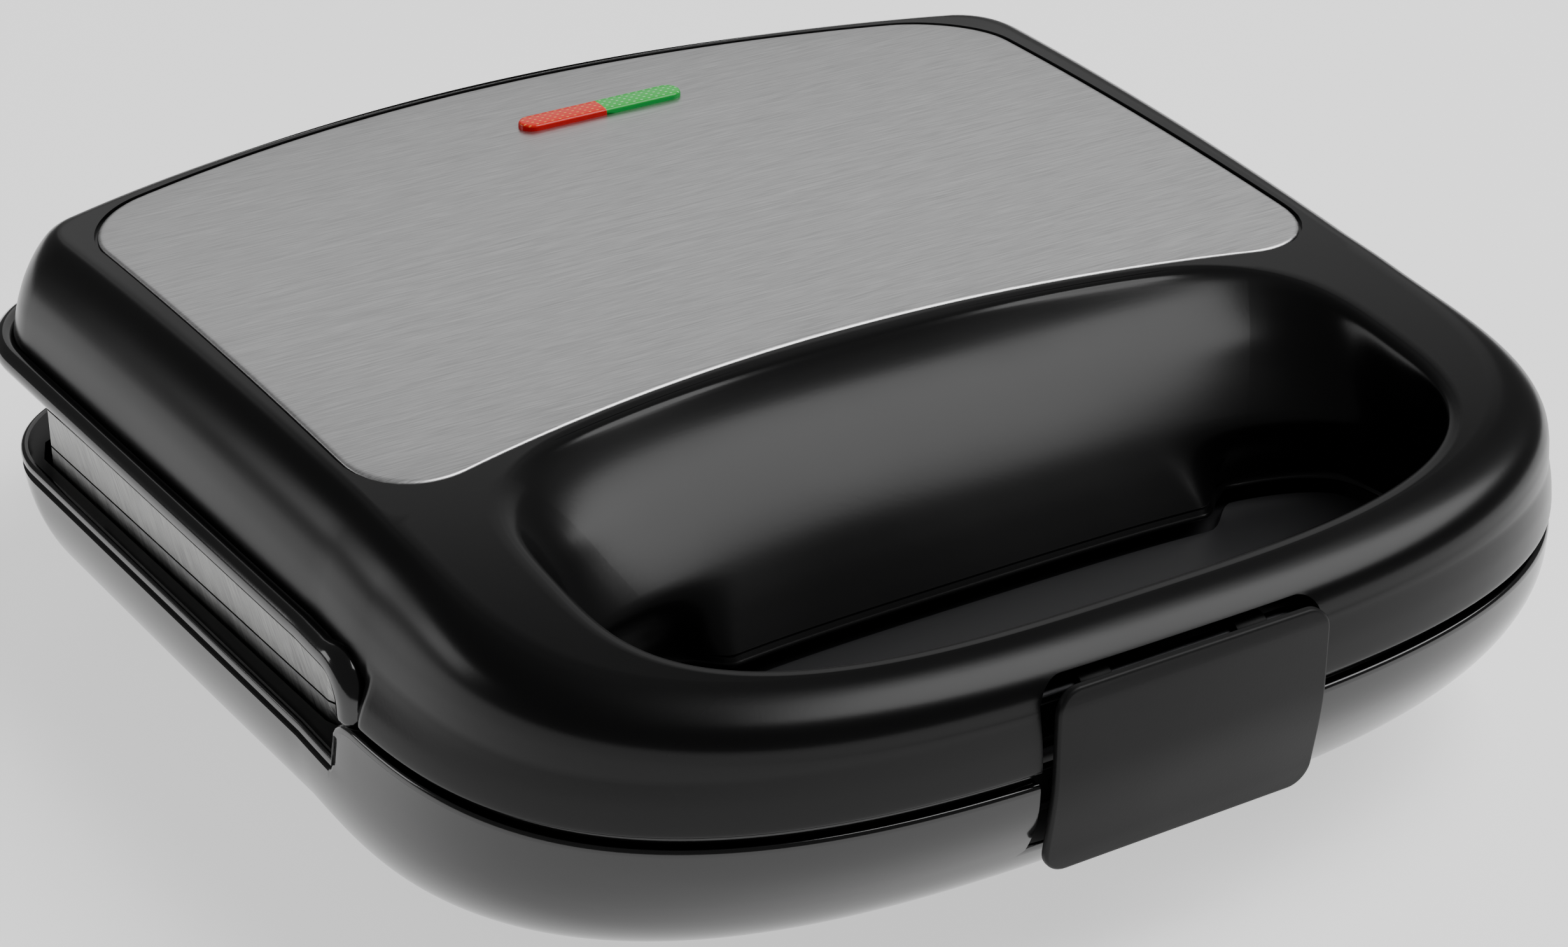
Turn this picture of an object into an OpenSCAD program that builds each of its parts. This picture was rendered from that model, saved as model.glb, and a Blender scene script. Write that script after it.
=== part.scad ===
// Sandwich toaster, closed, standing on z = 0.
// x is to the right, y to the rear, z up. The handle and the latch are at the front.

/* [Body] */
// Half the width across the handle rim
rim_half_w = 111.5; // [108:0.5:116]
// y at which the straight sides meet the rounded front
front_y = -33; // [-40:0.5:-28]
// Reach of the rounded front from there to its tip
front_reach = 88.4; // [84:0.2:92]
// Growth of the half width for each millimetre to the rear
side_taper = 0.05; // [0:0.005:0.06]
// Height at which the lid meets the handle rim
seam_z = 43.4; // [42:0.1:45]
// Gap between lid and handle rim
seam_gap = 1.9; // [1:0.1:3]
// Wall thickness of both housings
wall = 2.2; // [1.8:0.1:2.6]
// Height of the ledge round the cooking plates
ledge_z = 33.8; // [32:0.1:35]
// Reach of the lid behind the origin
lid_rear_y = 124; // [121:0.5:126]
// Reach of the lower housing behind the origin
base_rear_y = 115; // [112:0.5:117]

/* [Lid top] */
// Height of the steel trim plate at its middle
top_z = 72.4; // [71:0.1:74]
// Radius of the bend in the steel trim plate
top_bend_r = 1270; // [900:10:2000]
// Thickness of the steel trim plate
trim_t = 0.6; // [0.4:0.1:1]
// Clearance round the steel trim plate
trim_gap = 0.5; // [0.3:0.1:0.8]

/* [Hinge] */
// y of the hinge axis
hinge_y = 119.4; // [118:0.1:120]
// Height of the hinge axis
hinge_z = 39.5; // [39:0.1:40.5]
// Radius of the hinge pins
hinge_pin_r = 2; // [1.5:0.1:2.4]
// Running clearance of the lid on its pins
hinge_fit = 0.06; // [0.02:0.01:0.1]
// Distance of each hinge from the middle
hinge_x = 70; // [64:1:76]

/* [Latch] */
// Half the width of the latch
latch_half_w = 26; // [22:0.5:28]
// Radius of the latch pin
latch_pin_r = 1.3; // [1:0.1:1.6]
// Running clearance of the latch on its pin
latch_fit = 0.05; // [0.02:0.01:0.1]

/* [Cooking plates] */
// Height of the plane between the cooking plates
mating_z = 36.6; // [36:0.1:37]
// Half of the gap between the closed cooking plates
plate_half_gap = 0.2; // [0.15:0.05:0.4]
// Depth of the sandwich pockets
pocket_depth = 13; // [9:0.5:13.5]
// Radius of the tubular heating elements
element_r = 3.2; // [2.8:0.1:3.3]

/* [Small parts] */
// Radius of the feet
foot_r = 7.5; // [5:0.5:8]
// Bore for the mains cord in its bush
cord_bore_r = 3.4; // [2.5:0.1:4]

/* [Hidden] */

eps = 0.01;
// Further out than any face of the part
far = 150;
$fn = 48;

// ---------- plan outline of the body ----------
// Exponents of the rounded front, and the arcs of the rear
front_exp_x = 3.0;
front_exp_y = 3.2;
rear_arc_r = 238;
corner_r = 26;
// Points on a half outline: front, side, corner, rear
n_front = 16;
n_side = 4;
n_corner = 7;
n_rear = 5;
n_half = n_front + n_side + n_corner + n_rear;
n_ring = 2 * n_half;

function taper(p) = p.y < front_y ? p
  : [p.x * (1 + side_taper * (p.y - front_y) / rim_half_w), p.y];

// Right half of the outline, from the front middle to just before the rear middle
function half_outline(half_w, rear_y, d) =
  let (
    w = half_w - d,
    b = front_reach - d,
    big_r = rear_arc_r - d,
    r = corner_r - d,
    cx = w - r,
    arc_y = rear_y - rear_arc_r,
    cy = arc_y + sqrt(pow(big_r - r, 2) - cx * cx),
    turn = acos(cx / (big_r - r))
  )
  concat(
    [for (i = [0 : n_front - 1]) let (t = 90 * (1 - i / n_front))
      [w * pow(max(0, cos(t)), 2 / front_exp_x), front_y - b * pow(sin(t), 2 / front_exp_y)]],
    [for (i = [0 : n_side - 1]) [w, front_y + (cy - front_y) * i / n_side]],
    [for (i = [0 : n_corner - 1]) let (a = turn * i / n_corner) [cx + r * cos(a), cy + r * sin(a)]],
    [for (i = [0 : n_rear - 1]) let (a = turn + (90 - turn) * i / n_rear)
      [big_r * cos(a), arc_y + big_r * sin(a)]]
  );

// Whole outline, anticlockwise from the front middle, set in by d
function outline(half_w, rear_y, d) =
  let (h = [for (p = half_outline(half_w, rear_y, d)) taper(p)])
  concat(h, [[0, rear_y - d]], [for (i = [n_half - 1 : -1 : 1]) [-h[i].x, h[i].y]]);

function mix(a, b, u) = a + (b - a) * u;
function smooth(lo, hi, v) = let (u = min(1, max(0, (v - lo) / (hi - lo)))) u * u * (3 - 2 * u);

// Solid through a list of rings of n points each, lowest ring first.
// Each ring is symmetric in x, so its caps are strips that run from side to side.
module loft(rings) {
  n = len(rings[0]);
  h = n / 2;
  last = len(rings) - 1;
  top = last * n;
  polyhedron(
    points = [for (r = rings) each r],
    faces = concat(
      [[0, 1, n - 1], [h + 1, h - 1, h]],
      [for (i = [1 : h - 2]) [n - i, i, i + 1, n - i - 1]],
      [[top + n - 1, top + 1, top], [top + h, top + h - 1, top + h + 1]],
      [for (i = [1 : h - 2]) [top + n - i - 1, top + i + 1, top + i, top + n - i]],
      [for (k = [0 : last - 1], i = [0 : n - 1]) let (j = (i + 1) % n, a = k * n, b = a + n)
        each [[a + i, b + i, b + j], [a + i, b + j, a + j]]]
    ),
    convexity = 6
  );
}

// Slab with the body's outline, set in by d, between two heights
module slab(rear_y, d, z0, z1) {
  loft([for (z = [z0, z1]) [for (p = outline(rim_half_w, rear_y, d)) [p.x, p.y, z]]]);
}

// Block between two corners
module block(lo, hi) {
  translate(lo) cube(hi - lo);
}

// Cylinder along x, centred on x
module rod_x(r, x0, x1, y, z) {
  translate([x0, y, z]) rotate([0, 90, 0]) cylinder(r = r, h = x1 - x0);
}

// Cylinder along y
module rod_y(r, x, y0, y1, z) {
  translate([x, y0, z]) rotate([-90, 0, 0]) cylinder(r = r, h = y1 - y0);
}

// ---------- lid surfaces ----------
bend_y = 25.8;
handle_start_y = -25;
handle_drop = 0.00025;
lid_bottom_z = seam_z + seam_gap / 2;
rim_z = seam_z - seam_gap / 2;

// Height of the bent top at y, and of the lid's top face, which drops more at the handle
function bent_top(y) = top_z - pow(y - bend_y, 2) / (2 * top_bend_r);
function lid_top(y) = bent_top(y) - handle_drop * pow(max(0, handle_start_y - y), 2);

// Lid side, from its lower edge up: [rise above the lower edge, share of the way from there to
// the drop, drop below the top, inset in front, inset behind, further inset of the skirt].
// The drop is less in front. The second to the fifth row are the bead round the sides and rear.
front_drop_share = 0.6;
lid_profile = [
  [0, 0, 0, 0, 0, 4.2],
  [3.6, 0, 0, 0.1, 0, 3.6],
  [4.2, 0, 0, 0.15, 0.6, 1.2],
  [6.2, 0, 0, 0.3, 0.1, 0],
  [8, 0, 0, 0.5, 1.1, 0],
  [8.9, 0, 0, 0.65, 4.2, 0],
  [0, 1, 10.5, 1.25, 5.4, 0],
  [0, 1, 7, 1.75, 6.9, 0],
  [0, 1, 3.9, 2.95, 8.9, 0],
  [0, 1, 1.6, 5.2, 11.8, 0],
  [0, 1, 0.4, 8, 14.8, 0],
  [0, 1, 0, 10.8, 18, 0]
];
// Inset of the wall behind the bead, which is solid
bead_root = 3.6;
handle_blend_y = [-105, -50];
skirt_blend_y = [-58, -38];

// One ring of the lid, set in by d, its upper part lowered by dz
function lid_ring(p, d, dz) =
  let (
    in_side = d > 1 && p[1] == 0 ? bead_root : p[4],
    in_skirt = d > 1 && p[1] == 0 ? max(bead_root, p[4] + p[5]) : p[4] + p[5],
    front = outline(rim_half_w, lid_rear_y, p[3] + d),
    side = outline(rim_half_w, lid_rear_y, in_side + d),
    skirt = outline(rim_half_w, lid_rear_y, in_skirt + d)
  )
  [for (i = [0 : n_ring - 1])
    let (
      y = side[i].y,
      u = smooth(handle_blend_y[0], handle_blend_y[1], y),
      v = smooth(skirt_blend_y[0], skirt_blend_y[1], y),
      q = mix(mix(front[i], side[i], u), skirt[i], v),
      low = lid_bottom_z + p[0] - (p[0] == 0 ? 0.5 * dz : 0),
      high = lid_top(q.y) - p[2] * mix(front_drop_share, 1, u) - dz
    )
    [q.x, q.y, mix(low, high, p[1])]];

module lid_solid(d, dz) {
  loft([for (p = lid_profile) lid_ring(p, d, dz)]);
}

// ---------- finger recess ----------
// Height of the deck that closes the recess at the bottom
deck_z = 38.4;
// The recess in plan narrows and moves forward as it goes down
recess_front_y = -108.5;
n_recess = 48;
// [height, y of the rear edge, distance from the rim at the sides, inset of the front edge]
recess_steps = [
  [75, -14, 27.5, -4],
  [70.2, -21, 29.5, -2.2],
  [68.6, -30, 30.9, -1.2],
  [65, -38.5, 32.1, -0.4],
  [60, -45.5, 33.1, 0],
  [53, -52.5, 34.1, 0],
  [46, -58, 34.9, 0],
  [40.5, -62, 35.5, 0]
];
recess_exp = 3.4;
// Gap between the foot of the recess and the deck under it
recess_foot_gap = 1.6;

function recess_ring(p, d, z) =
  let (
    y0 = recess_front_y + p[3] - d,
    y1 = p[1] + d,
    c = (y0 + y1) / 2,
    b = (y1 - y0) / 2,
    w = rim_half_w - p[2] + d
  )
  [for (i = [0 : n_recess - 1]) let (a = -90 + 360 * i / n_recess)
    [w * sign(cos(a)) * pow(abs(cos(a)), 2 / recess_exp),
     c + b * sign(sin(a)) * pow(abs(sin(a)), 2 / recess_exp), z]];

module recess_solid(d) {
  n = len(recess_steps);
  loft(concat(
    [recess_ring(recess_steps[n - 1], d, 30)],
    [for (k = [n - 1 : -1 : 0]) recess_ring(recess_steps[k], d, recess_steps[k][0])]
  ));
}

// ---------- steel trim plate outline ----------
trim_front_w = rim_half_w - 16.1;
trim_rear_w = rim_half_w - 13;
trim_front_y = -37.4;
trim_rear_y = 89;
trim_front_sag = 16.1;
trim_rear_sag = 21.9;
trim_front_r = 17;
trim_rear_r = 15;

// Arc from one edge to the next, as points of a cubic curve
function corner_curve(a, c, b, n) = [for (i = [0 : n]) let (u = i / n, k = 0.55)
  pow(1 - u, 3) * a + 3 * u * pow(1 - u, 2) * mix(a, c, k)
  + 3 * u * u * (1 - u) * mix(b, c, k) + pow(u, 3) * b];

function trim_front_edge(x) = trim_front_y + trim_front_sag * (1 - pow(x / trim_front_w, 2));
function trim_rear_edge(x) = trim_rear_y + trim_rear_sag * (1 - pow(x / trim_rear_w, 2));

function trim_half() =
  let (
    xf = trim_front_w - trim_front_r,
    xr = trim_rear_w - trim_rear_r
  )
  concat(
    [for (i = [0 : 5]) let (x = xf * i / 6) [x, trim_front_edge(x)]],
    corner_curve([xf, trim_front_edge(xf)], [trim_front_w, trim_front_y],
      [trim_front_w + 0.4, trim_front_y + trim_front_r], 6),
    corner_curve([trim_rear_w - 0.4, trim_rear_y - trim_rear_r], [trim_rear_w, trim_rear_y],
      [xr, trim_rear_edge(xr)], 6),
    [for (i = [1 : 5]) let (x = xr * (1 - i / 6)) [x, trim_rear_edge(x)]]
  );

module trim_outline() {
  h = trim_half();
  polygon(concat(h, [[0, trim_rear_edge(0)]], [for (i = [len(h) - 1 : -1 : 1]) [-h[i].x, h[i].y]]));
}

// Everything under the lid's bent top, less a depth, and wider by grow
n_bend = 28;
bend_reach = [-60, 130];
function bend_point(y, at, depth) = [y, bent_top(at) - depth];
module under_top(depth, grow) {
  y0 = bend_reach[0];
  y1 = bend_reach[1];
  translate([-far + 1 - grow, 0, 0]) rotate([90, 0, 90]) linear_extrude(2 * (far - 1 + grow))
    polygon(concat([[y1 + grow, 40 - grow], [y0 - grow, 40 - grow]],
      grow > 0 ? [bend_point(y0 - grow, y0, depth)] : [],
      [for (i = [0 : n_bend]) let (y = mix(y0, y1, i / n_bend)) bend_point(y, y, depth)],
      grow > 0 ? [bend_point(y1 + grow, y1, depth)] : []));
}

// Keeps what lies between two depths under the lid's bent top
module top_layer(upper, lower) {
  intersection() {
    children();
    difference() {
      under_top(upper, 0);
      under_top(lower, 1);
    }
  }
}

// ---------- indicator lens ----------
lens_x = 9.7;
lens_y = 85.3;
lens_half_l = 17.7;
lens_r = 2.8;
lens_rise = 1.3;
lens_top_z = lid_top(lens_y) + lens_rise;
lens_flange_z = lid_top(lens_y) - trim_t - wall - 0.3;
// Heights between which the hole for the lens is cut
lens_cut_z = [lens_flange_z - 7, lens_top_z + 7];

module pill(grow, z0, z1) {
  translate([0, 0, z0]) linear_extrude(z1 - z0) {
    for (s = [-1, 1]) translate([lens_x + s * (lens_half_l - lens_r), lens_y]) circle(lens_r + grow);
    translate([lens_x, lens_y]) square([2 * (lens_half_l - lens_r), 2 * (lens_r + grow)], center = true);
  }
}

module lens_half(x0, x1) {
  intersection() {
    union() {
      pill(0, lens_flange_z - 0.6, lens_top_z);
      pill(1.6, lens_flange_z - 1.4, lens_flange_z);
    }
    block([x0, lens_y - 10, lens_cut_z[0]], [x1, lens_y + 10, lens_cut_z[1]]);
  }
}

// ---------- cooking plates ----------
plate_front_y = -42.5;
plate_rear_y = 81;
plate_inset = 4.6;
plate_corner = 9;
plate_rim_t = 9;
// The back of the rim steps in, to go up inside the lid's wall
rim_step = 3.4;
rim_step_h = mating_z + plate_half_gap + plate_rim_t - lid_bottom_z + 0.3;
pan_t = 3.4;
pan_side = 3.4;
pan_front_y = -30.5;
pan_rear_y = 70.5;
rib = 4;
screw_in = 15.5;
screw_x = [screw_in - rim_half_w, rim_half_w - screw_in];
screw_y = [-38, 77.2];
screw_r = 1.5;

function plate_half_w(y) = rim_half_w - plate_inset + side_taper * (y - front_y);

// Plate outline with cut corners, set in by d
module plate_outline(d) {
  f = plate_front_y + d;
  r = plate_rear_y - d;
  k = plate_corner;
  half = [
    [plate_half_w(f) - d - k, f], [plate_half_w(f) - d - 0.3 * k, f + 0.3 * k], [plate_half_w(f) - d, f + k],
    [plate_half_w(r) - d, r - k], [plate_half_w(r) - d - 0.3 * k, r - 0.3 * k], [plate_half_w(r) - d - k, r]
  ];
  polygon(concat(half, [for (i = [5 : -1 : 0]) [-half[i].x, half[i].y]]));
}

// One square pocket split by its diagonal, on the right side
pocket_x0 = 3.5;
pocket_x1 = rim_half_w - 15.5;
pocket_y0 = -27;
pocket_y1 = 67;
module pocket_triangles() {
  dx = pocket_x1 - pocket_x0;
  dy = pocket_y1 - pocket_y0;
  translate([pocket_x0, pocket_y0]) {
    polygon([[0, rib * 1.4], [0, dy], [dx - rib * 1.4, dy]]);
    polygon([[rib * 1.4, 0], [dx, 0], [dx, dy - rib * 1.4]]);
  }
}

// Cooking plate lying face up, with its face at z = 0
module plate_casting() {
  difference() {
    union() {
      translate([0, 0, -plate_rim_t]) linear_extrude(plate_rim_t) plate_outline(rim_step);
      translate([0, 0, rim_step_h - plate_rim_t]) linear_extrude(plate_rim_t - rim_step_h) plate_outline(0);
      block([-pocket_x1 - pan_side, pan_front_y, -pocket_depth - pan_t],
        [pocket_x1 + pan_side, pan_rear_y, -plate_rim_t + eps]);
    }
    for (s = [0, 1]) mirror([s, 0, 0]) {
      translate([0, 0, -pocket_depth]) linear_extrude(pocket_depth + 1) pocket_triangles();
      block([pocket_x0, pocket_y0, -1.5], [pocket_x1, pocket_y1, 1]);
    }
    for (x = screw_x, y = screw_y) translate([x, y, -20]) {
      cylinder(r = screw_r + 0.2, h = 30);
      translate([0, 0, 20 - 2.6]) cylinder(r = 3.2, h = 5);
    }
  }
}

plate_back = pocket_depth + pan_t;
lower_face_z = mating_z - plate_half_gap;
upper_face_z = mating_z + plate_half_gap;
lower_back_z = lower_face_z - plate_back;
upper_back_z = upper_face_z + plate_back;

// Tubular element: a long loop with two cold ends that turn to the rear
loop_half_w = rim_half_w - 33.5;
loop_front_y = -14;
loop_rear_y = 50;
loop_bend_r = 14;
end_x = 26;
end_y = 92;

module bend(x, y, r, from, turn, z) {
  translate([x, y, z]) rotate([0, 0, from]) rotate_extrude(angle = turn) translate([r, 0]) circle(element_r);
}

module element(z) {
  b = loop_bend_r;
  rod_x(element_r, -loop_half_w + b, loop_half_w - b, loop_front_y, z);
  for (s = [0, 1]) mirror([s, 0, 0]) {
    bend(loop_half_w - b, loop_front_y + b, b, -90, 90, z);
    rod_y(element_r, loop_half_w, loop_front_y + b, loop_rear_y - b, z);
    bend(loop_half_w - b, loop_rear_y - b, b, 0, 90, z);
    rod_x(element_r, end_x + b, loop_half_w - b, loop_rear_y, z);
    bend(end_x + b, loop_rear_y + b, b, 180, 90, z);
    rod_y(element_r, end_x, loop_rear_y + b, end_y, z);
  }
}

// Reflector tray, floor down, its flange at z = 0, its floor at z = -tray_depth
tray_t = 0.8;
tray_front_y = -33.4;
tray_rear_y = 73.4;
tray_half_w = pocket_x1 + pan_side + 0.45 + tray_t;
tray_depth = plate_back + 2 * element_r + 1.6 - plate_rim_t;
module tray() {
  difference() {
    union() {
      translate([0, 0, -tray_t]) linear_extrude(tray_t) plate_outline(rim_step + 0.2);
      block([-tray_half_w, tray_front_y, -tray_depth], [tray_half_w, tray_rear_y, -tray_t + eps]);
    }
    block([-tray_half_w + tray_t, tray_front_y + tray_t, -tray_depth + tray_t],
      [tray_half_w - tray_t, tray_rear_y - tray_t, 1]);
    for (x = [-end_x, end_x])
      block([x - element_r - 0.8, tray_rear_y - 2, -tray_depth + 1.2], [x + element_r + 0.8, 95, 1]);
    for (x = screw_x, y = screw_y) translate([x, y, -2]) cylinder(r = screw_r + 0.2, h = 3);
  }
}

// ---------- bowl of the lower housing ----------
foot_h = 3.9;
bowl_side_in = 20.5;
bowl_front_in = 57;
base_flare = 0.3;
bowl_levels = [foot_h, 5, 8, 12, 17, 23, 29, 33.8, 38, 42.45];
bowl_front_blend_y = [40, -90];

// Share of the full inset at height z, on a quarter ellipse that starts at height top
function bowl_share(z, top) = z >= top ? 0 : 1 - sqrt(max(0, 1 - pow((top - z) / (top - foot_h), 2)));

function bowl_ring(z, d) =
  let (
    side = bowl_side_in * bowl_share(z, ledge_z) - base_flare * smooth(rim_z, ledge_z, z),
    front = bowl_front_in * bowl_share(z, rim_z) - bowl_side_in * bowl_share(z, ledge_z)
  )
  [for (p = outline(rim_half_w, base_rear_y, side + d))
    [p.x, p.y + max(0, front) * smooth(bowl_front_blend_y[0], bowl_front_blend_y[1], p.y), z]];

module bowl(d, lift) {
  loft([for (z = bowl_levels) [for (p = bowl_ring(z, d)) [p.x, p.y, p.z + lift]]]);
}

// ---------- pieces ----------
handle_end_y = -46.5;
deck_t = 2;
ledge_t = 1.6;
lip_h = 1.3;
lip_t = 1.2;

ear_t = 5.6;
ear_r = 5;
barrel_half_w = 3.8;
ear_gap = 0.4;

boss_r = 3.6;
// Depth of the screw holes beyond the plates' rims
screw_hole = 12;
lower_flange_z = lower_face_z - plate_rim_t;
upper_flange_z = upper_face_z + plate_rim_t;

latch_y = -115.6;
latch_z = 54.6;
latch_low_z = 25.1;
latch_high_z = 59.2;
latch_back_y = -121.8;
latch_t = 2.6;
pocket_gap = 1.2;
latch_pin_reach = latch_half_w + pocket_gap + 1.8;
notch_floor_y = -117.2;
latch_ear_r = 2.5;
latch_pocket_y = latch_y + latch_ear_r + 0.5;
hook_half_w = 10;
hook_z = [33, 36.5];
hook_tip_y = notch_floor_y + wall + 1.4;

bush_x = -45;
bush_z = 20;
bush_y = [100, 110.6];
bush_r = 6;
bush_flange = 2;

foot_x = rim_half_w - 28;
foot_y = [-44, 66];
peg_r = 2.5;

// Side view of a hinge arm, swept along x
module hinge_arm(points, x0, x1) {
  translate([x0, 0, 0]) rotate([90, 0, 90]) linear_extrude(x1 - x0) polygon(points);
  rod_x(ear_r, x0, x1, hinge_y, hinge_z);
}

module lower_housing() {
  color("#101012") difference() {
    union() {
      difference() {
        bowl(0, 0);
        bowl(wall, wall);
        block([-far, handle_end_y, ledge_z], [far, far, 60]);
      }
      rim_lip();
      intersection() {
        bowl(0.4, 0);
        union() {
          base_floors();
          base_posts();
        }
      }
      for (x = [-foot_x, foot_x], y = foot_y) translate([x, y, foot_h]) cylinder(r = foot_r + 0.8, h = 4.6);
      rod_y(bush_r + 3, bush_x, bush_y[0], bush_y[1], bush_z);
      for (s = [-1, 1], k = [-1, 1]) {
        mid = s * hinge_x + k * (barrel_half_w + ear_gap + ear_t / 2);
        hinge_arm([[base_rear_y - 14, 22], [base_rear_y - 14, ledge_z - 0.2], [hinge_y - 3.8, hinge_z + 3],
          [hinge_y + 3.9, hinge_z - 3], [hinge_y - 0.5, hinge_z - 4.9]], mid - ear_t / 2, mid + ear_t / 2);
      }
    }
    block([-latch_half_w - pocket_gap, -130, latch_low_z - 6], [latch_half_w + pocket_gap, notch_floor_y, 60]);
    block([-hook_half_w - 1.5, -125, hook_z[0] - 1.5], [hook_half_w + 1.5, hook_tip_y + 3.6, 60]);
    for (x = screw_x, y = screw_y) translate([x, y, lower_flange_z - screw_hole]) cylinder(r = screw_r, h = 20);
    for (x = [-foot_x, foot_x], y = foot_y) translate([x, y, 0]) cylinder(r = peg_r + 0.05, h = 9);
    rod_y(bush_r, bush_x, bush_y[0] - 5, bush_y[1] + 5, bush_z);
    rod_y(bush_r + bush_flange + 0.3, bush_x, bush_y[1], bush_y[1] + 10, bush_z);
    rod_x(hinge_pin_r, -far, far, hinge_y, hinge_z);
  }
}

// Lip that stands inside the handle rim and closes the seam to the eye
module rim_lip() {
  difference() {
    slab(base_rear_y, wall - 0.2, rim_z - 4, rim_z + lip_h);
    slab(base_rear_y, wall + lip_t, rim_z - 5, rim_z + lip_h + 1);
    block([-far, handle_end_y, 0], [far, far, 60]);
  }
}

// Level parts inside the lower housing: ledge, handle deck, and the wall between them
module base_floors() {
  difference() {
    block([-far, handle_end_y, ledge_z - ledge_t], [far, far, ledge_z]);
    translate([0, 0, ledge_z - 5]) linear_extrude(10) plate_outline(-1);
  }
  block([-far, -far, deck_z - deck_t], [far, handle_end_y, deck_z]);
  block([-far, handle_end_y - deck_t, foot_h], [far, handle_end_y, deck_z]);
  block([-latch_half_w - 4, notch_floor_y, foot_h + 14], [latch_half_w + 4, notch_floor_y + wall, rim_z]);
}

module base_posts() {
  for (x = screw_x, y = screw_y)
    translate([x, y, foot_h]) cylinder(r = boss_r, h = lower_flange_z - tray_t - foot_h);
}

module upper_housing() {
  color("#101012") difference() {
    union() {
      difference() {
        lid_solid(0, 0);
        lid_solid(wall, wall + trim_t);
      }
      intersection() {
        lid_solid(0.3, 0.3);
        union() {
          recess_solid(wall);
          lid_posts();
        }
      }
      intersection() {
        recess_solid(wall);
        block([-far, -far, deck_z + recess_foot_gap], [far, 0, lid_bottom_z + 2]);
      }
      for (s = [-1, 1])
        hinge_arm([[lid_rear_y - 16, lid_bottom_z + 1.2], [lid_rear_y - 16, lid_bottom_z + 9.6],
          [hinge_y + 2, hinge_z + 4.5], [hinge_y - 3.9, hinge_z - 3]],
          s * hinge_x - barrel_half_w, s * hinge_x + barrel_half_w);
    }
    recess_solid(0);
    block([-latch_half_w - pocket_gap, -130, lid_bottom_z - 3],
      [latch_half_w + pocket_gap, latch_pocket_y, latch_high_z + 1]);
    rod_x(latch_pin_r, -latch_pin_reach, latch_pin_reach, latch_y, latch_z);
    trim_pocket();
    pill(0.25, lens_cut_z[0], lens_cut_z[1]);
    for (x = screw_x, y = screw_y) translate([x, y, 40]) cylinder(r = screw_r, h = upper_flange_z + screw_hole - 40);
    rod_x(hinge_pin_r + hinge_fit, -far, far, hinge_y, hinge_z);
  }
}

module trim_pocket() {
  difference() {
    translate([0, 0, 60]) linear_extrude(20) offset(delta = trim_gap) trim_outline();
    under_top(trim_t, 0);
  }
}

// Posts for the plate screws and the lamp holder, and the box round the latch pocket
module lid_posts() {
  for (x = screw_x, y = screw_y)
    translate([x, y, upper_flange_z + tray_t]) cylinder(r = boss_r, h = 40);
  for (s = [-1, 1])
    translate([lens_x + s * holder_post_x, lens_y, holder_z[1]]) cylinder(r = 2.6, h = 20);
  block([-latch_half_w - pocket_gap - wall, -130, lid_bottom_z],
    [latch_half_w + pocket_gap + wall, latch_pocket_y + wall, 75]);
}

module top_trim_plate() {
  color("#a9abad") top_layer(0, trim_t) difference() {
    translate([0, 0, lid_bottom_z]) linear_extrude(top_z) trim_outline();
    pill(0.25, lens_cut_z[0], lens_cut_z[1]);
  }
}

module power_lens() {
  color("#c8201c") lens_half(lens_x - 40, lens_x);
}

module ready_lens() {
  color("#1f9a3c") lens_half(lens_x, lens_x + 40);
}

holder_z = [lens_flange_z - 5.5, lens_flange_z - 1.4];
holder_half_l = 27;
holder_post_x = 24;
lamp_r = 1.9;
lamp_z = holder_z[1] - lamp_r - 0.3;

module lamp_holder() {
  color("#e6e2d6") difference() {
    block([lens_x - holder_half_l, lens_y - 6.5, holder_z[0]],
      [lens_x + holder_half_l, lens_y + 6.5, holder_z[1]]);
    block([lens_x - 19, lens_y - 4.6, lamp_z - lamp_r], [lens_x + 19, lens_y + 4.6, holder_z[1] + 1]);
  }
}

module lamp(x0) {
  rod_x(lamp_r, x0, x0 + 12, lens_y, lamp_z);
  rod_x(0.9, x0 - 2.5, x0, lens_y, lamp_z);
}

module power_lamp() {
  color("#e8c9a0") lamp(lens_x - 14);
}

module ready_lamp() {
  color("#cfe0c4") lamp(lens_x + 4);
}

module lower_cooking_plate() {
  color("#4a4a4c") translate([0, 0, lower_face_z]) plate_casting();
}

module upper_cooking_plate() {
  color("#4a4a4c") translate([0, 0, upper_face_z]) mirror([0, 0, 1]) plate_casting();
}

module lower_heating_element() {
  color("#8d8a84") element(lower_back_z - element_r);
}

module upper_heating_element() {
  color("#8d8a84") element(upper_back_z + element_r);
}

module lower_reflector() {
  color("#b9bcc0") translate([0, 0, lower_flange_z]) tray();
}

module upper_reflector() {
  color("#b9bcc0") translate([0, 0, upper_flange_z]) mirror([0, 0, 1]) tray();
}

module thermostat() {
  color("#6b5a44") translate([0, 20, lower_back_z - 6.4]) {
    cylinder(r = 7.5, h = 4.4);
    translate([0, 0, 4.4]) cylinder(r = 9, h = 2);
  }
}

module thermal_fuse() {
  color("#d8d8d0") {
    rod_x(2.2, 30, 42, 84, foot_h + wall + 2.2);
    rod_x(0.6, 26, 30, 84, foot_h + wall + 2.2);
    rod_x(0.6, 42, 46, 84, foot_h + wall + 2.2);
  }
}

module terminal_block() {
  color("#ece8dc") difference() {
    block([-15, 79, foot_h + wall], [15, 91, 16]);
    for (x = [-10, 0, 10]) rod_y(1.8, x, 70, 100, 11);
    for (x = [-10, 0, 10], y = [82, 88]) translate([x, y, 11]) cylinder(r = 1.4, h = 10);
  }
}

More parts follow.
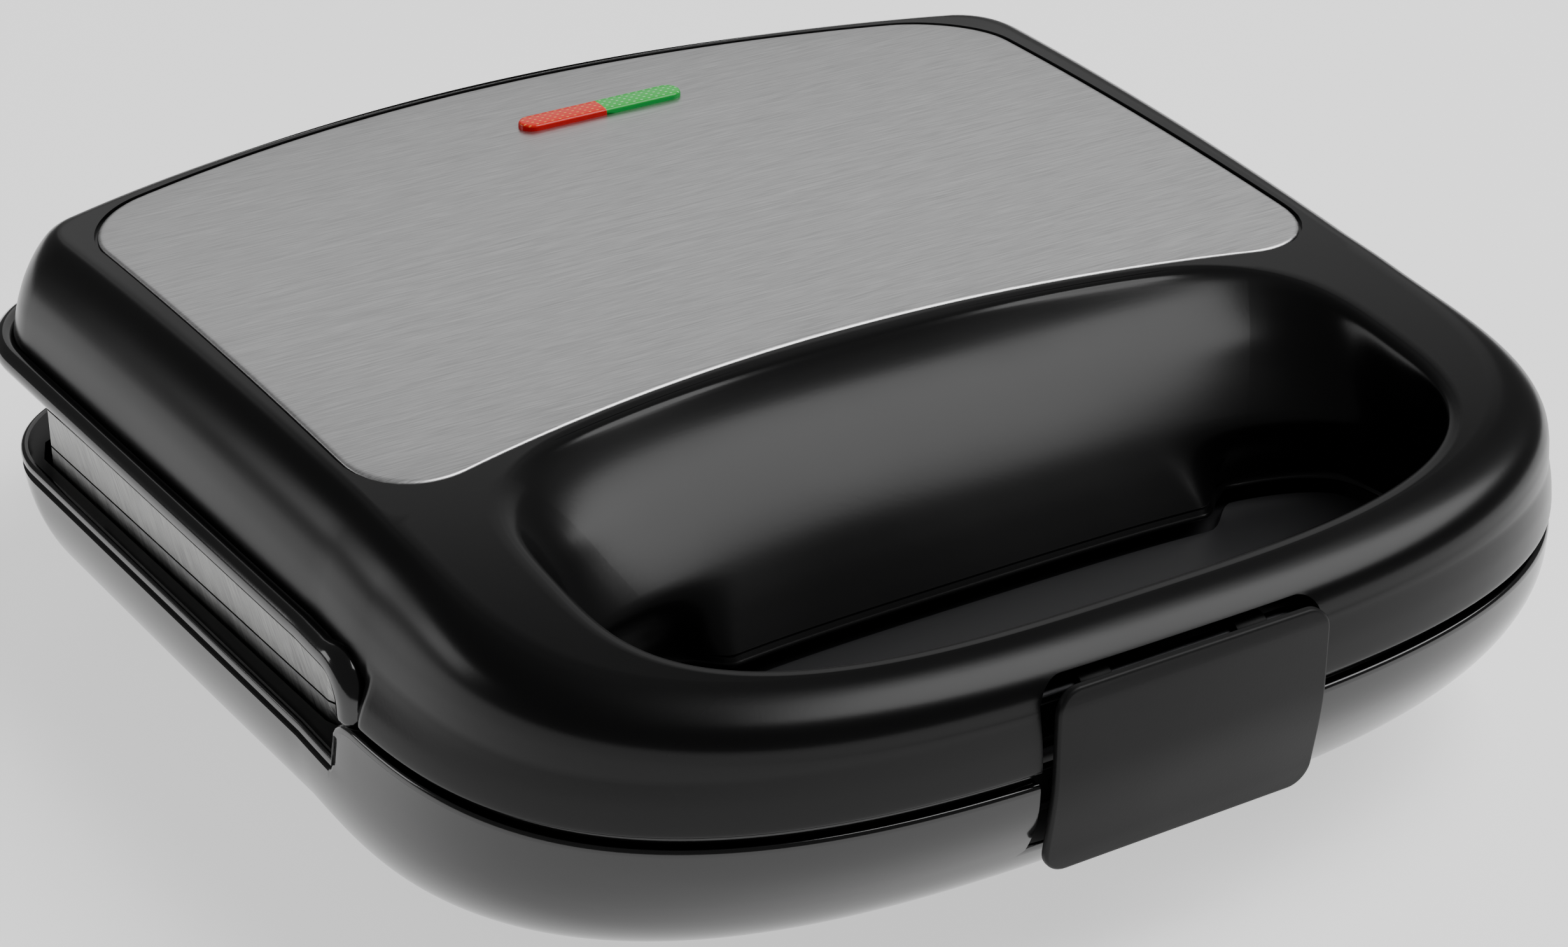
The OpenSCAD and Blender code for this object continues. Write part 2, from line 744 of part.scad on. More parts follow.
module cord_bush() {
  color("#161616") translate([bush_x, bush_y[0], bush_z]) rotate([-90, 0, 0]) difference() {
    rotate_extrude() polygon([[cord_bore_r, -1.6], [bush_r + 1.4, -1.6], [bush_r + 1.4, 0], [bush_r, 0],
      [bush_r, bush_y[1] - bush_y[0]], [bush_r + bush_flange, bush_y[1] - bush_y[0]],
      [bush_r + bush_flange, bush_y[1] - bush_y[0] + 1.6], [cord_bore_r, bush_y[1] - bush_y[0] + 1.6]]);
  }
}

module hinge_pin(s) {
  reach = barrel_half_w + ear_gap + ear_t;
  color("#b4b6b8") {
    rod_x(hinge_pin_r, s * hinge_x - reach, s * hinge_x + reach, hinge_y, hinge_z);
    rod_x(hinge_pin_r + 1.3, s > 0 ? s * hinge_x + reach : s * hinge_x - reach - 1.2,
      s > 0 ? s * hinge_x + reach + 1.2 : s * hinge_x - reach, hinge_y, hinge_z);
  }
}

module left_hinge_pin() {
  hinge_pin(-1);
}

module right_hinge_pin() {
  hinge_pin(1);
}

latch_corner_r = 4;
latch_ear_x = [12, 18];

module latch() {
  color("#1b1b1c") difference() {
    union() {
      translate([0, latch_back_y, 0]) rotate([90, 0, 0]) linear_extrude(latch_t) latch_outline();
      for (s = [0, 1]) mirror([s, 0, 0]) {
        rod_x(latch_ear_r, latch_ear_x[0], latch_ear_x[1], latch_y, latch_z);
        block([latch_ear_x[0], latch_back_y - eps, latch_z - latch_ear_r],
          [latch_ear_x[1], latch_y, latch_z + 2]);
      }
      block([-hook_half_w, latch_back_y - eps, hook_z[0]], [hook_half_w, hook_tip_y, hook_z[1]]);
    }
    rod_x(latch_pin_r + latch_fit, -30, 30, latch_y, latch_z);
  }
}

module latch_outline() {
  w = latch_half_w - latch_corner_r;
  lo = latch_low_z + latch_corner_r;
  hi = latch_high_z - latch_corner_r;
  for (x = [-w, w], z = [lo, hi]) translate([x, z]) circle(latch_corner_r);
  translate([-w, latch_low_z]) square([2 * w, latch_high_z - latch_low_z]);
  translate([-latch_half_w, lo]) square([2 * latch_half_w, hi - lo]);
}

module latch_pin() {
  color("#b4b6b8") rod_x(latch_pin_r, -latch_pin_reach, latch_pin_reach, latch_y, latch_z);
}

module foot(x, y) {
  color("#1a1a1a") translate([x, y, 0]) {
    rotate_extrude() polygon([[0, 0], [foot_r - 0.8, 0], [foot_r, 0.8], [foot_r, foot_h], [0, foot_h]]);
    cylinder(r = peg_r, h = foot_h + 4.4);
  }
}

module front_left_foot() {
  foot(-foot_x, foot_y[0]);
}

module front_right_foot() {
  foot(foot_x, foot_y[0]);
}

module rear_left_foot() {
  foot(-foot_x, foot_y[1]);
}

module rear_right_foot() {
  foot(foot_x, foot_y[1]);
}

// Screw with its head up, the head's top at z = 0
module screw() {
  difference() {
    union() {
      translate([0, 0, -2]) cylinder(r = 2.9, h = 2);
      translate([0, 0, -19]) cylinder(r = screw_r, h = 17.5);
    }
    block([-2.2, -0.4, -0.8], [2.2, 0.4, 1]);
    block([-0.4, -2.2, -0.8], [0.4, 2.2, 1]);
  }
}

module lower_plate_screws() {
  color("#c4c6c8") for (x = screw_x, y = screw_y) translate([x, y, lower_face_z - 0.6]) screw();
}

module upper_plate_screws() {
  color("#c4c6c8") for (x = screw_x, y = screw_y)
    translate([x, y, upper_face_z + 0.6]) mirror([0, 0, 1]) screw();
}

lower_housing();
upper_housing();
top_trim_plate();
power_lens();
ready_lens();
lamp_holder();
power_lamp();
ready_lamp();
upper_cooking_plate();
lower_cooking_plate();
upper_heating_element();
lower_heating_element();
upper_reflector();
lower_reflector();
thermostat();
thermal_fuse();
terminal_block();
cord_bush();
left_hinge_pin();
right_hinge_pin();
latch();
latch_pin();
front_left_foot();
front_right_foot();
rear_left_foot();
rear_right_foot();
upper_plate_screws();
lower_plate_screws();
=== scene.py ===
"""Looks for the sandwich toaster: smooth housings, brushed steel, lens, latch, and the studio."""

import math

import bmesh
import bpy
import numpy as np
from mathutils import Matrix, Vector


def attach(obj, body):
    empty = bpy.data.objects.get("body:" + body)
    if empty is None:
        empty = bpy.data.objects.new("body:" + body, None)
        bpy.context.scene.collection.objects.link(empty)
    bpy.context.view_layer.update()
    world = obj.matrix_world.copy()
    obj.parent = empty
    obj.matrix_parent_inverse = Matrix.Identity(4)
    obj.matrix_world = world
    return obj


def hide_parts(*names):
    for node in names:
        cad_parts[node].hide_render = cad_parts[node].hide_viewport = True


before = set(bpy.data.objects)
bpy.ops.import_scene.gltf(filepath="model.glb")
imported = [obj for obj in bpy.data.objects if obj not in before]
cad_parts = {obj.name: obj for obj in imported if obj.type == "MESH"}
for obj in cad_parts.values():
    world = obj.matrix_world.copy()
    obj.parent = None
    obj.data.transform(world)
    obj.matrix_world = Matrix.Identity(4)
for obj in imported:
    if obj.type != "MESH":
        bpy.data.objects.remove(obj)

bl_info = {
    "name": "Sandwich Toaster",
    "version": (1, 0, 0),
    "blender": (4, 5, 0),
    "location": "View3D > Sidebar > Toaster",
    "description": "Models the visible pieces of a closed sandwich toaster and its studio",
    "category": "Object",
}

MM = 0.001


# ---------- mesh helpers ----------

def deselect():
    """Leaves edit mode and selects nothing."""
    if bpy.context.object and bpy.context.object.mode != "OBJECT":
        bpy.ops.object.mode_set(mode="OBJECT")
    bpy.ops.object.select_all(action="DESELECT")


def only(*objects):
    """Selects these objects, the first one active."""
    deselect()
    for obj in objects:
        obj.select_set(True)
    bpy.context.view_layer.objects.active = objects[0]


def edit(obj):
    """Opens the object in edit mode with everything selected."""
    only(obj)
    bpy.ops.object.mode_set(mode="EDIT")
    bpy.ops.mesh.select_all(action="SELECT")


def close_edit():
    """Leaves edit mode."""
    bpy.ops.object.mode_set(mode="OBJECT")


def sheet(name, rows, closed=True):
    """A grid bent so that its rows run through these points, given in millimetres."""
    rows = np.asarray(rows, float)
    if closed:
        rows = np.concatenate([rows, rows[:, :1]], axis=1)
    m, n = rows.shape[:2]
    deselect()
    bpy.ops.mesh.primitive_grid_add(x_subdivisions=n - 1, y_subdivisions=m - 1, size=1)
    obj = bpy.context.object
    obj.name = name
    obj.data.name = name
    if len(obj.data.vertices) != m * n:
        raise RuntimeError(f"{name}: the grid has {len(obj.data.vertices)} points, not {m * n}")
    obj.data.vertices.foreach_set("co", (rows.reshape(-1, 3) * MM).astype(np.float32).ravel())
    obj.data.update()
    return obj


def weld(obj, outward=True, gap=2e-6):
    """Merges what meets and points the faces outwards."""
    edit(obj)
    bpy.ops.mesh.remove_doubles(threshold=gap)
    bpy.ops.mesh.normals_make_consistent(inside=not outward)
    close_edit()
    return obj


def join(*objects):
    """Joins objects into the first."""
    only(*objects)
    bpy.ops.object.join()
    return bpy.context.object


def apply(obj, kind, **settings):
    """Adds a modifier, sets it and applies it."""
    only(obj)
    bpy.ops.object.modifier_add(type=kind)
    mod = obj.modifiers[-1]
    for key, value in settings.items():
        setattr(mod, key, value)
    bpy.ops.object.modifier_apply(modifier=mod.name)
    return obj


def smooth_shade(obj, angle=35):
    """Smooth shading, with creases above this angle."""
    only(obj)
    bpy.ops.object.shade_smooth_by_angle(angle=math.radians(angle))


def face_up(obj, sign=1, axis=2):
    """Turns the whole surface round if most of it faces the wrong way along an axis."""
    total = sum(p.normal[axis] * p.area for p in obj.data.polygons)
    if total * sign < 0:
        edit(obj)
        bpy.ops.mesh.flip_normals()
        close_edit()


def block(name, low, high, bevel=0.5, segments=3):
    """A box between two corners in millimetres, its edges rounded."""
    low, high = Vector(low), Vector(high)
    deselect()
    bpy.ops.mesh.primitive_cube_add(size=1)
    obj = bpy.context.object
    obj.name = name
    edit(obj)
    bpy.ops.transform.resize(value=(high - low) * MM)
    bpy.ops.transform.translate(value=(low + high) / 2 * MM)
    if bevel:
        bpy.ops.mesh.bevel(offset=bevel * MM, segments=segments, affect="EDGES")
    close_edit()
    return obj


def rod(name, radius, start, end, bevel=0.2, vertices=48):
    """A round bar between two points that lie along one axis."""
    start, end = Vector(start), Vector(end)
    way = end - start
    deselect()
    turn = {0: (0, math.pi / 2, 0), 1: (math.pi / 2, 0, 0), 2: (0, 0, 0)}[max(range(3), key=lambda i: abs(way[i]))]
    bpy.ops.mesh.primitive_cylinder_add(vertices=vertices, radius=radius * MM, depth=way.length * MM,
                                        location=(start + end) / 2 * MM, rotation=turn)
    obj = bpy.context.object
    obj.name = name
    bpy.ops.object.transform_apply(location=True, rotation=True, scale=True)
    if bevel:
        apply(obj, "BEVEL", width=bevel * MM, segments=3, limit_method="ANGLE", angle_limit=math.radians(50))
    return obj


def side_plate(name, outline, x0, x1, bevel=0.4):
    """A flat piece with an outline of (y, z) points, between two values of x."""
    deselect()
    bpy.ops.mesh.primitive_circle_add(vertices=len(outline), fill_type="NGON", radius=1)
    obj = bpy.context.object
    obj.name = name
    for vertex, (y, z) in zip(obj.data.vertices, outline):
        vertex.co = Vector((x0, y, z)) * MM
    edit(obj)
    bpy.ops.mesh.extrude_region_move(TRANSFORM_OT_translate={"value": ((x1 - x0) * MM, 0, 0)})
    bpy.ops.mesh.select_all(action="SELECT")
    bpy.ops.mesh.normals_make_consistent(inside=False)
    close_edit()
    if bevel:
        apply(obj, "BEVEL", width=bevel * MM, segments=2, limit_method="ANGLE", angle_limit=math.radians(50))
    return obj


def finish_piece(obj, body, slot, material, *nodes, angle=35):
    """Shading, finish, and the body it rides on."""
    smooth_shade(obj, angle)
    obj.data.materials.clear()
    obj.data.materials.append(material)
    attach(obj, body)
    if nodes:
        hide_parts(*nodes)


# ---------- sizes shared by the pieces, in millimetres ----------

HALF_W = 111.5
FRONT_Y = -33.0
REACH = 88.4
TAPER = 0.05
REAR_R = 238.0
CORNER_R = 26.0
LID_REAR = 124.0
BASE_REAR = 115.0
LID_LOW = 44.35
RIM_Z = 42.45
LEDGE_Z = 33.8
FOOT_H = 3.9
DECK_Z = 38.4
PLATE_IN = 4.6


def ease(lo, hi, v):
    """Rises softly from 0 at lo to 1 at hi."""
    u = np.clip((np.asarray(v, float) - lo) / (hi - lo), 0, 1)
    return u * u * (3 - 2 * u)


def curve_through(controls, count):
    """Smooth rows through control rows, evenly spaced in the control index."""
    c = np.asarray(controls, float)
    p = np.concatenate([2 * c[:1] - c[1:2], c, 2 * c[-1:] - c[-2:-1]])
    out = []
    for t in np.linspace(0, len(c) - 1, count):
        i = min(int(t), len(c) - 2)
        u = t - i
        a, b, d, e = p[i], p[i + 1], p[i + 2], p[i + 3]
        out.append(0.5 * (2 * b + (d - a) * u + (2 * a - 5 * b + 4 * d - e) * u ** 2
                          + (3 * b - a - 3 * d + e) * u ** 3))
    return np.array(out)


TOP_Z = 72.4
TOP_Y = 25.8
TOP_BEND = 2540
DROOP_Y = -25
DROOP = 0.00025


def bent_top(y):
    """Height of the steel plate, a shallow arch with its top at TOP_Y."""
    return TOP_Z - (np.asarray(y, float) - TOP_Y) ** 2 / TOP_BEND


def lid_top(y):
    """Height of the lid's top, which falls a little more towards the handle."""
    return bent_top(y) - DROOP * np.maximum(0, DROOP_Y - np.asarray(y, float)) ** 2


# Stations on the right half of the outline: from the front's middle to the side, the side, the corner, the rear
N_FRONT, N_SIDE, N_CORNER, N_REAR = 96, 34, 18, 24
N_HALF = N_FRONT + N_SIDE + N_CORNER + N_REAR + 1
# Powers of the front's curve, fuller than an ellipse, along x and y
FULL_X, FULL_Y = 2 / 3.0, 2 / 3.2


def front_angles():
    """Angles of the stations in front, closer together where the handle ends."""
    a = np.linspace(math.pi / 2, 0, 4001)
    x = HALF_W * np.cos(a).clip(0) ** FULL_X
    y = FRONT_Y - REACH * np.sin(a).clip(0) ** FULL_Y
    step = np.hypot(np.diff(x), np.diff(y))
    mid = (y[1:] + y[:-1]) / 2
    weight = 1 + 3.0 * ease(-58, -54, mid) * (1 - ease(-44, -40, mid))
    along = np.concatenate([[0], np.cumsum(step * weight)])
    return np.interp(np.linspace(0, along[-1], N_FRONT + 1)[:-1], along, a)


FRONT_A = front_angles()


def half_outline(rear_y, inset):
    """Right half of the outline at the stations; inset may differ from station to station."""
    d = np.broadcast_to(np.asarray(inset, float), (N_HALF,))
    arc_y = rear_y - REAR_R
    f = d[:N_FRONT]
    front = np.stack([(HALF_W - f) * np.cos(FRONT_A).clip(0) ** FULL_X,
                      FRONT_Y - (REACH - f) * np.sin(FRONT_A).clip(0) ** FULL_Y], 1)
    w, big, r = HALF_W - d, REAR_R - d, CORNER_R - d
    cx = w - r
    cy = arc_y + np.sqrt((big - r) ** 2 - cx ** 2)
    turn = np.arccos(cx / (big - r))
    s = slice(N_FRONT, N_FRONT + N_SIDE)
    k = np.arange(N_SIDE) / N_SIDE
    side = np.stack([w[s], FRONT_Y + (cy[s] - FRONT_Y) * k], 1)
    s = slice(N_FRONT + N_SIDE, N_FRONT + N_SIDE + N_CORNER)
    a = turn[s] * np.arange(N_CORNER) / N_CORNER
    corner = np.stack([cx[s] + r[s] * np.cos(a), cy[s] + r[s] * np.sin(a)], 1)
    s = slice(N_FRONT + N_SIDE + N_CORNER, None)
    a = turn[s] + (math.pi / 2 - turn[s]) * np.arange(N_REAR + 1) / N_REAR
    rear = np.stack([big[s] * np.cos(a), arc_y + big[s] * np.sin(a)], 1)
    p = np.concatenate([front, side, corner, rear])
    grow = np.where(p[:, 1] > FRONT_Y, 1 + TAPER * (p[:, 1] - FRONT_Y) / HALF_W, 1)
    p[:, 0] *= grow
    p[-1, 0] = 0
    p[0, 0] = 0
    return p


def mirrored(half, closed=True):
    """A whole ring from its right half, or with closed=False a line whose right half only ends on the middle."""
    left = half[-2:0 if closed else None:-1].copy()
    left[:, 0] *= -1
    return np.concatenate([half, left])


def ring_xyz(half_xy, half_z):
    """A ring in space from the right half of an outline and its heights."""
    half_z = np.broadcast_to(half_z, (len(half_xy),))
    return mirrored(np.column_stack([half_xy, half_z]))


REF = half_outline(LID_REAR, 0)
REF_Y = REF[:, 1]
AT_REAR = ease(0, N_CORNER, np.arange(N_HALF) - N_FRONT - N_SIDE)


# ---------- lid ----------

# Lower part, level by level: inset in front, on the leaning flank behind the handle, and of the skirt
LID_LOWER = [
    (0.00, 0.55, 0.55, 4.6), (0.03, 0.15, 0.15, 4.3), (0.08, 0.0, 0.05, 4.25), (0.2, 0.0, 0.35, 4.2),
    (0.4, 0.12, 1.15, 4.1), (0.6, 0.3, 2.15, 3.8), (0.8, 0.6, 3.1, 3.6), (1.0, 0.95, 3.9, 3.9)]
# Upper part: inset in front, inset at the sides, share of the way to the drop, drop below the top
LID_UPPER = [
    (0.95, 3.9, 0.0, 10.5), (1.05, 4.55, 0.5, 10.5), (1.25, 5.4, 1, 10.5), (1.75, 6.75, 1, 7),
    (2.95, 8.6, 1, 3.9), (5.2, 10.8, 1, 1.6), (8.0, 12.8, 1, 0.4), (10.6, 14.6, 1, 0.0)]
LID_JOIN_Z = 54.0


def lid_side_rows():
    """Rings of the lid from its lower edge to where the top begins."""
    rows = []
    u = ease(-105, -50, REF_Y)
    v = ease(-53.6, -51.6, REF_Y)
    groove = 0.9 * ease(-55.6, -53.6, REF_Y)
    low = curve_through(LID_LOWER, 22)
    for f, front, lean, skirt in low:
        inset = front + (lean - front) * u
        inset = inset + groove * float(1 - ease(0.55, 0.95, f))
        inset = inset + (skirt - inset) * v
        rows.append(ring_xyz(half_outline(LID_REAR, inset), LID_LOW + f * (LID_JOIN_Z - LID_LOW)))
    for front, side, share, drop in curve_through(LID_UPPER, 30)[1:]:
        squeeze = 1 - 0.16 * AT_REAR * ease(5, 12, side)
        inset = front + (side * squeeze - front) * u
        xy = half_outline(LID_REAR, inset)
        high = lid_top(xy[:, 1]) - drop * (0.6 + 0.4 * u)
        rows.append(ring_xyz(xy, LID_JOIN_Z + share * (high - LID_JOIN_Z)))
    return rows


def trim_front(x):
    """Front edge of the steel plate, bowed forwards at its ends."""
    return -37.4 + 16.1 * (1 - (x / 95.4) ** 2)


def trim_rear(x):
    """Rear edge of the steel plate."""
    return 89 + 21.9 * (1 - (x / 98.5) ** 2)


def resample(points, count, ends=True):
    """Points at even steps along a line."""
    p = np.asarray(points, float)
    along = np.concatenate([[0], np.cumsum(np.hypot(*np.diff(p, axis=0).T))])
    t = np.linspace(0, along[-1], count) if ends else np.linspace(0, along[-1], count + 1)[:-1]
    return np.stack([np.interp(t, along, p[:, i]) for i in range(2)], 1)


def bezier_corner(a, c, b, n=24):
    """A rounded corner from a to b, drawn towards c."""
    a, b, c = (np.array(v, float) for v in (a, b, c))
    u = np.linspace(0, 1, n)[:, None]
    near_a, near_b = a + (c - a) * 0.55, b + (c - b) * 0.55
    return (1 - u) ** 3 * a + 3 * u * (1 - u) ** 2 * near_a + 3 * u ** 2 * (1 - u) * near_b + u ** 3 * b


# Points on the trim's right half, from the middle of its front edge to the middle of its corner
N_TRIM_FRONT = 84
# Middles that the rings of the recess and of the steel plate are drawn round
RECESS_MID = np.array([0, -66.0])
TRIM_MID = np.array([0, 34.0])


def trim_half(grow):
    """Right half of the steel plate's outline, grown outwards: half its front, its side, its rear corner, its rear."""
    g = grow
    xf, xr = 78.4, 83.5
    x = np.linspace(0, xf, 60)
    front = np.stack([x, trim_front(x) - g], 1)
    c1 = bezier_corner((xf, trim_front(xf) - g), (95.4 + g, -37.4 - g), (95.8 + g, -20.4))
    c2 = bezier_corner((98.1 + g, 74), (98.5 + g, 89 + g), (xr, trim_rear(xr) + g))
    x = np.linspace(xr, 0, 60)
    rear = np.stack([x, trim_rear(x) + g], 1)
    turn = int(np.argmin(np.arctan2(c1[:, 1] - RECESS_MID[1], c1[:, 0])))
    first = resample(np.concatenate([front, c1[1:turn + 1]]), N_TRIM_FRONT)
    side = np.concatenate([c1[turn:], c2[:1]])
    return first, side, c2, rear


# Station of the outline where the lid's top is cut into its front and rear parts
SPLIT = int(np.argmin(np.abs(REF_Y + 43.5) + 100 * (np.arange(N_HALF) < 20)))
CUT_ROWS = 4
TRIM_GAP = 0.55


def trim_ring(grow):
    """Trim outline as a ring whose points answer to the lid's stations behind the cut."""
    first, side, corner, rear = trim_half(grow)
    second = np.concatenate([
        resample(side, N_FRONT + N_SIDE - SPLIT, ends=False),
        resample(corner, N_CORNER, ends=False),
        resample(rear, N_REAR + 1)])
    return first, second


# Recess, from its upper edge down: share of the height, rear edge y, half width, front edge y, exponent
RECESS = [
    (1.0, -22.6, 83.4, -110.2, 3.1), (0.988, -24.8, 82.0, -108.4, 3.15), (0.955, -28.6, 81.0, -107.2, 3.2),
    (0.88, -34.6, 80.3, -106.6, 3.25), (0.77, -40.8, 79.8, -106.3, 3.3), (0.63, -46.4, 79.4, -106.2, 3.4),
    (0.46, -51.8, 79.2, -106.2, 3.4), (0.3, -55.9, 79.1, -106.2, 3.4), (0.15, -59.4, 79.0, -106.2, 3.4),
    (0.03, -62.1, 79.0, -106.2, 3.4)]
RECESS_FOOT_Z = 40.0


def recess_xy(angle, rear_y, half_w, front_y, power, lobe, grow=0.0):
    """Points of one recess ring at these polar angles about its own middle."""
    cy, b, w = (rear_y + front_y) / 2, (rear_y - front_y) / 2 + grow, half_w + grow
    c, s = np.cos(angle), np.sin(angle)
    r = ((np.abs(c) / w) ** power + (np.abs(s) / b) ** power) ** (-1 / power)
    x, y = r * c, r * s
    wide = 6 * (1 - lobe)
    y = y + 7.6 * lobe * ease(47 - wide, 57 + wide, np.abs(x)) * ease(0.1, 0.55, y / b)
    return x, y + cy


def foot_curve(angle, grow):
    """The recess's foot, grown outwards."""
    return recess_xy(angle, *RECESS[-1][1:], 1.0, grow)


def recess_rows(angle):
    """Rings from the upper edge of the recess to its foot."""
    rows = []
    top_y = None
    for h, rear_y, half_w, front_y, power in curve_through(RECESS, 44):
        lobe = 1 - ease(0.03, 0.42, h)
        x, y = recess_xy(angle, rear_y, half_w, front_y, power, lobe)
        over = y - trim_front(x) + 1.0 + 3.0 * min(1, (1 - h) / 0.015)
        y = y - np.logaddexp(0, 1.5 * over) / 1.5
        if top_y is None:
            top_y = y
            top_z = lid_top(y)
        rows.append(np.column_stack([x, y, RECESS_FOOT_Z + (top_z - RECESS_FOOT_Z) * h]))
    for drop, grow in ((0.75, -0.12), (0.5, -0.4), (0.25, -0.45), (0.0, -0.25), (-0.05, 0.3)):
        x, y = foot_curve(angle, grow)
        rows.append(np.column_stack([x, y, np.full_like(x, RECESS_FOOT_Z + drop)]))
    return rows


def build_lid():
    """The lid's skin, from its lower edge over the roll and the top down into the recess."""
    side_rows = lid_side_rows()
    skin = sheet("lid_shell", side_rows)
    edge = side_rows[-1]
    first, second = trim_ring(TRIM_GAP)
    last = first[-1]

    # front part of the top: from the recess to the outline, the two cuts and the trim's front edge
    right = edge[:SPLIT + 1, :2]
    cut = np.array([right[-1] + (last - right[-1]) * k / CUT_ROWS for k in range(1, CUT_ROWS)])
    half = np.concatenate([right, cut, first[::-1]])
    ring = mirrored(half)
    way = ring - RECESS_MID
    rows = recess_rows(np.unwrap(np.arctan2(way[:, 1], way[:, 0])))
    inner = rows[0][:, :2]
    fill = []
    for k in np.linspace(0, 1, 9)[1:]:
        xy = inner + (ring - inner) * k
        fill.append(np.column_stack([xy, lid_top(xy[:, 1])]))
    front = sheet("lid_front", np.array(rows[::-1] + fill))

    # strip between the outline and the trim's sides and rear
    outer = edge[SPLIT:len(edge) - SPLIT + 1, :2]
    inner = mirrored(second, closed=False)
    strip = []
    for k in range(CUT_ROWS + 1):
        xy = outer + (inner - outer) * k / CUT_ROWS
        strip.append(np.column_stack([xy, lid_top(xy[:, 1])]))
    rear = sheet("lid_rear", strip, closed=False)

    # seat of the trim plate, a shallow step down
    half = np.concatenate([first[:-1], second])
    ring = mirrored(half)
    seat = [np.column_stack([ring, lid_top(ring[:, 1])])]
    for scale, drop in ((1, 0.12), (0.999, 0.7), (0.93, 0.72), (0.6, 0.72), (0.25, 0.72), (0, 0.72)):
        xy = TRIM_MID + (ring - TRIM_MID) * scale
        seat.append(np.column_stack([xy, (lid_top(xy[:, 1]) if scale > 0.99 else bent_top(xy[:, 1])) - drop]))
    seat = sheet("lid_seat", seat)

    for piece in (skin, front, rear, seat):
        weld(piece, gap=1e-7)
    skin = join(skin, front, rear, seat)
    weld(skin, gap=3e-6)
    face_up(skin)
    return skin


def cut_away(obj, cutter):
    """Cuts one object out of another and removes it."""
    apply(obj, "BOOLEAN", operation="DIFFERENCE", object=cutter, solver="MANIFOLD")
    bpy.data.objects.remove(cutter)


def rounded_slab(name, low, high, radius, edge=0.0):
    """A box whose edges along y are rounded with a large radius."""
    obj = block(name, low, high, bevel=0)
    edit(obj)
    bpy.ops.mesh.select_mode(type="EDGE")
    mesh = bmesh.from_edit_mesh(obj.data)
    for e in mesh.edges:
        way = e.verts[1].co - e.verts[0].co
        e.select_set(abs(way.y) > 0.9 * way.length)
    bmesh.update_edit_mesh(obj.data)
    bpy.ops.mesh.bevel(offset=radius * MM, segments=10, affect="EDGES")
    close_edit()
    if edge:
        apply(obj, "BEVEL", width=edge * MM, segments=4, limit_method="ANGLE", angle_limit=math.radians(50))
    return obj


def tube(name, path, radius, sides=20):
    """A round moulding along a path of points in millimetres, its ends rounded."""
    deselect()
    curve = bpy.data.curves.new(name, "CURVE")
    curve.dimensions = "3D"
    curve.bevel_depth = radius * MM
    curve.bevel_resolution = sides // 4
    curve.use_fill_caps = True
    spline = curve.splines.new("POLY")
    spline.points.add(len(path) - 1)
    shrink = [0.55, 0.8, 0.95]
    for i, (point, p) in enumerate(zip(spline.points, path)):
        point.co = (*(Vector(p[:3]) * MM), 1)
        k = min(i, len(path) - 1 - i)
        point.radius = p[3] / radius * (shrink[k] if k < 3 else 1)
    obj = bpy.data.objects.new(name, curve)
    bpy.context.scene.collection.objects.link(obj)
    only(obj)
    bpy.ops.object.convert(target="MESH")
    return bpy.context.object


BEAD_Z = 50.9
POST_Y = -48.9
POST_R = 3.5


def bead_path(bead_r):
    """Up a thicker post in front, then along the side and round the rear: x, y, z, radius."""
    edge = half_outline(LID_REAR, 0)[:N_FRONT + N_SIDE]
    order = np.argsort(edge[:, 1])
    ys, xs = edge[order, 1], edge[order, 0]
    bend_r, low = 6.4, 42.0
    path = [(POST_Y, low + d) for d in (0, 0.15, 0.5, 1.1)]
    path += [(POST_Y, z) for z in np.linspace(low + 1.8, BEAD_Z - bend_r, 6)]
    for a in np.linspace(0, math.pi / 2, 12)[1:]:
        path.append((POST_Y + bend_r * (1 - math.cos(a)), BEAD_Z - bend_r + bend_r * math.sin(a)))
    half = []
    for y, z in path:
        r = POST_R + (bead_r - POST_R) * float(ease(POST_Y + 0.3, POST_Y + bend_r + 2, y))
        half.append((np.interp(y, ys, xs) - r + 0.15, y, z, r))
    start = POST_Y + bend_r + 1.2
    whole = half_outline(LID_REAR, bead_r)
    half += [(x + 0.15 * float(x > 100), y, BEAD_Z, bead_r) for x, y in whole if y > start and (y > 0 or x > 90)]
    return mirrored(np.array(half), closed=False)


# ---------- base ----------

BOWL_SIDE = 20.5
BOWL_FRONT = 57
RIM_END_Y = -45.4


def bowl_inset(z):
    """Inset of the bowl at a height, and how far its front is drawn back."""
    def share(top):
        k = np.clip((top - z) / (top - FOOT_H), 0, 1)
        return 1 - np.sqrt(np.maximum(0, 1 - k * k))
    flare = 0.3 * ease(RIM_Z, LEDGE_Z, z) if z < RIM_Z else 0.0
    side = BOWL_SIDE * share(LEDGE_Z) - flare
    front = np.maximum(0, BOWL_FRONT * share(RIM_Z) - BOWL_SIDE * share(LEDGE_Z))
    return side, front


BASE_Y = half_outline(BASE_REAR, 0)[:, 1]
# Rim from the wall over its top and down inside: (inset, height) in front, and round the ledge
RIM_ROWS = [
    ((0.0, -1.2), (-0.3, -1.1)), ((0.05, -0.7), (-0.28, -0.6)), ((0.22, -0.25), (-0.15, -0.22)),
    ((0.55, 0.0), (0.15, 0.0)), ((1.5, 0.0), (0.8, 0.0)), ((2.0, 0.0), (1.2, -0.02)),
    ((2.05, 0.9), (1.5, -0.04)), ((2.25, 1.25), (1.8, -0.06)), ((2.9, 1.3), (2.1, -0.08)),
    ((3.2, 1.1), (2.4, -0.12)), ((3.3, 0.5), (2.6, -0.3)), ((3.3, -6.5), (2.6, -3.0))]


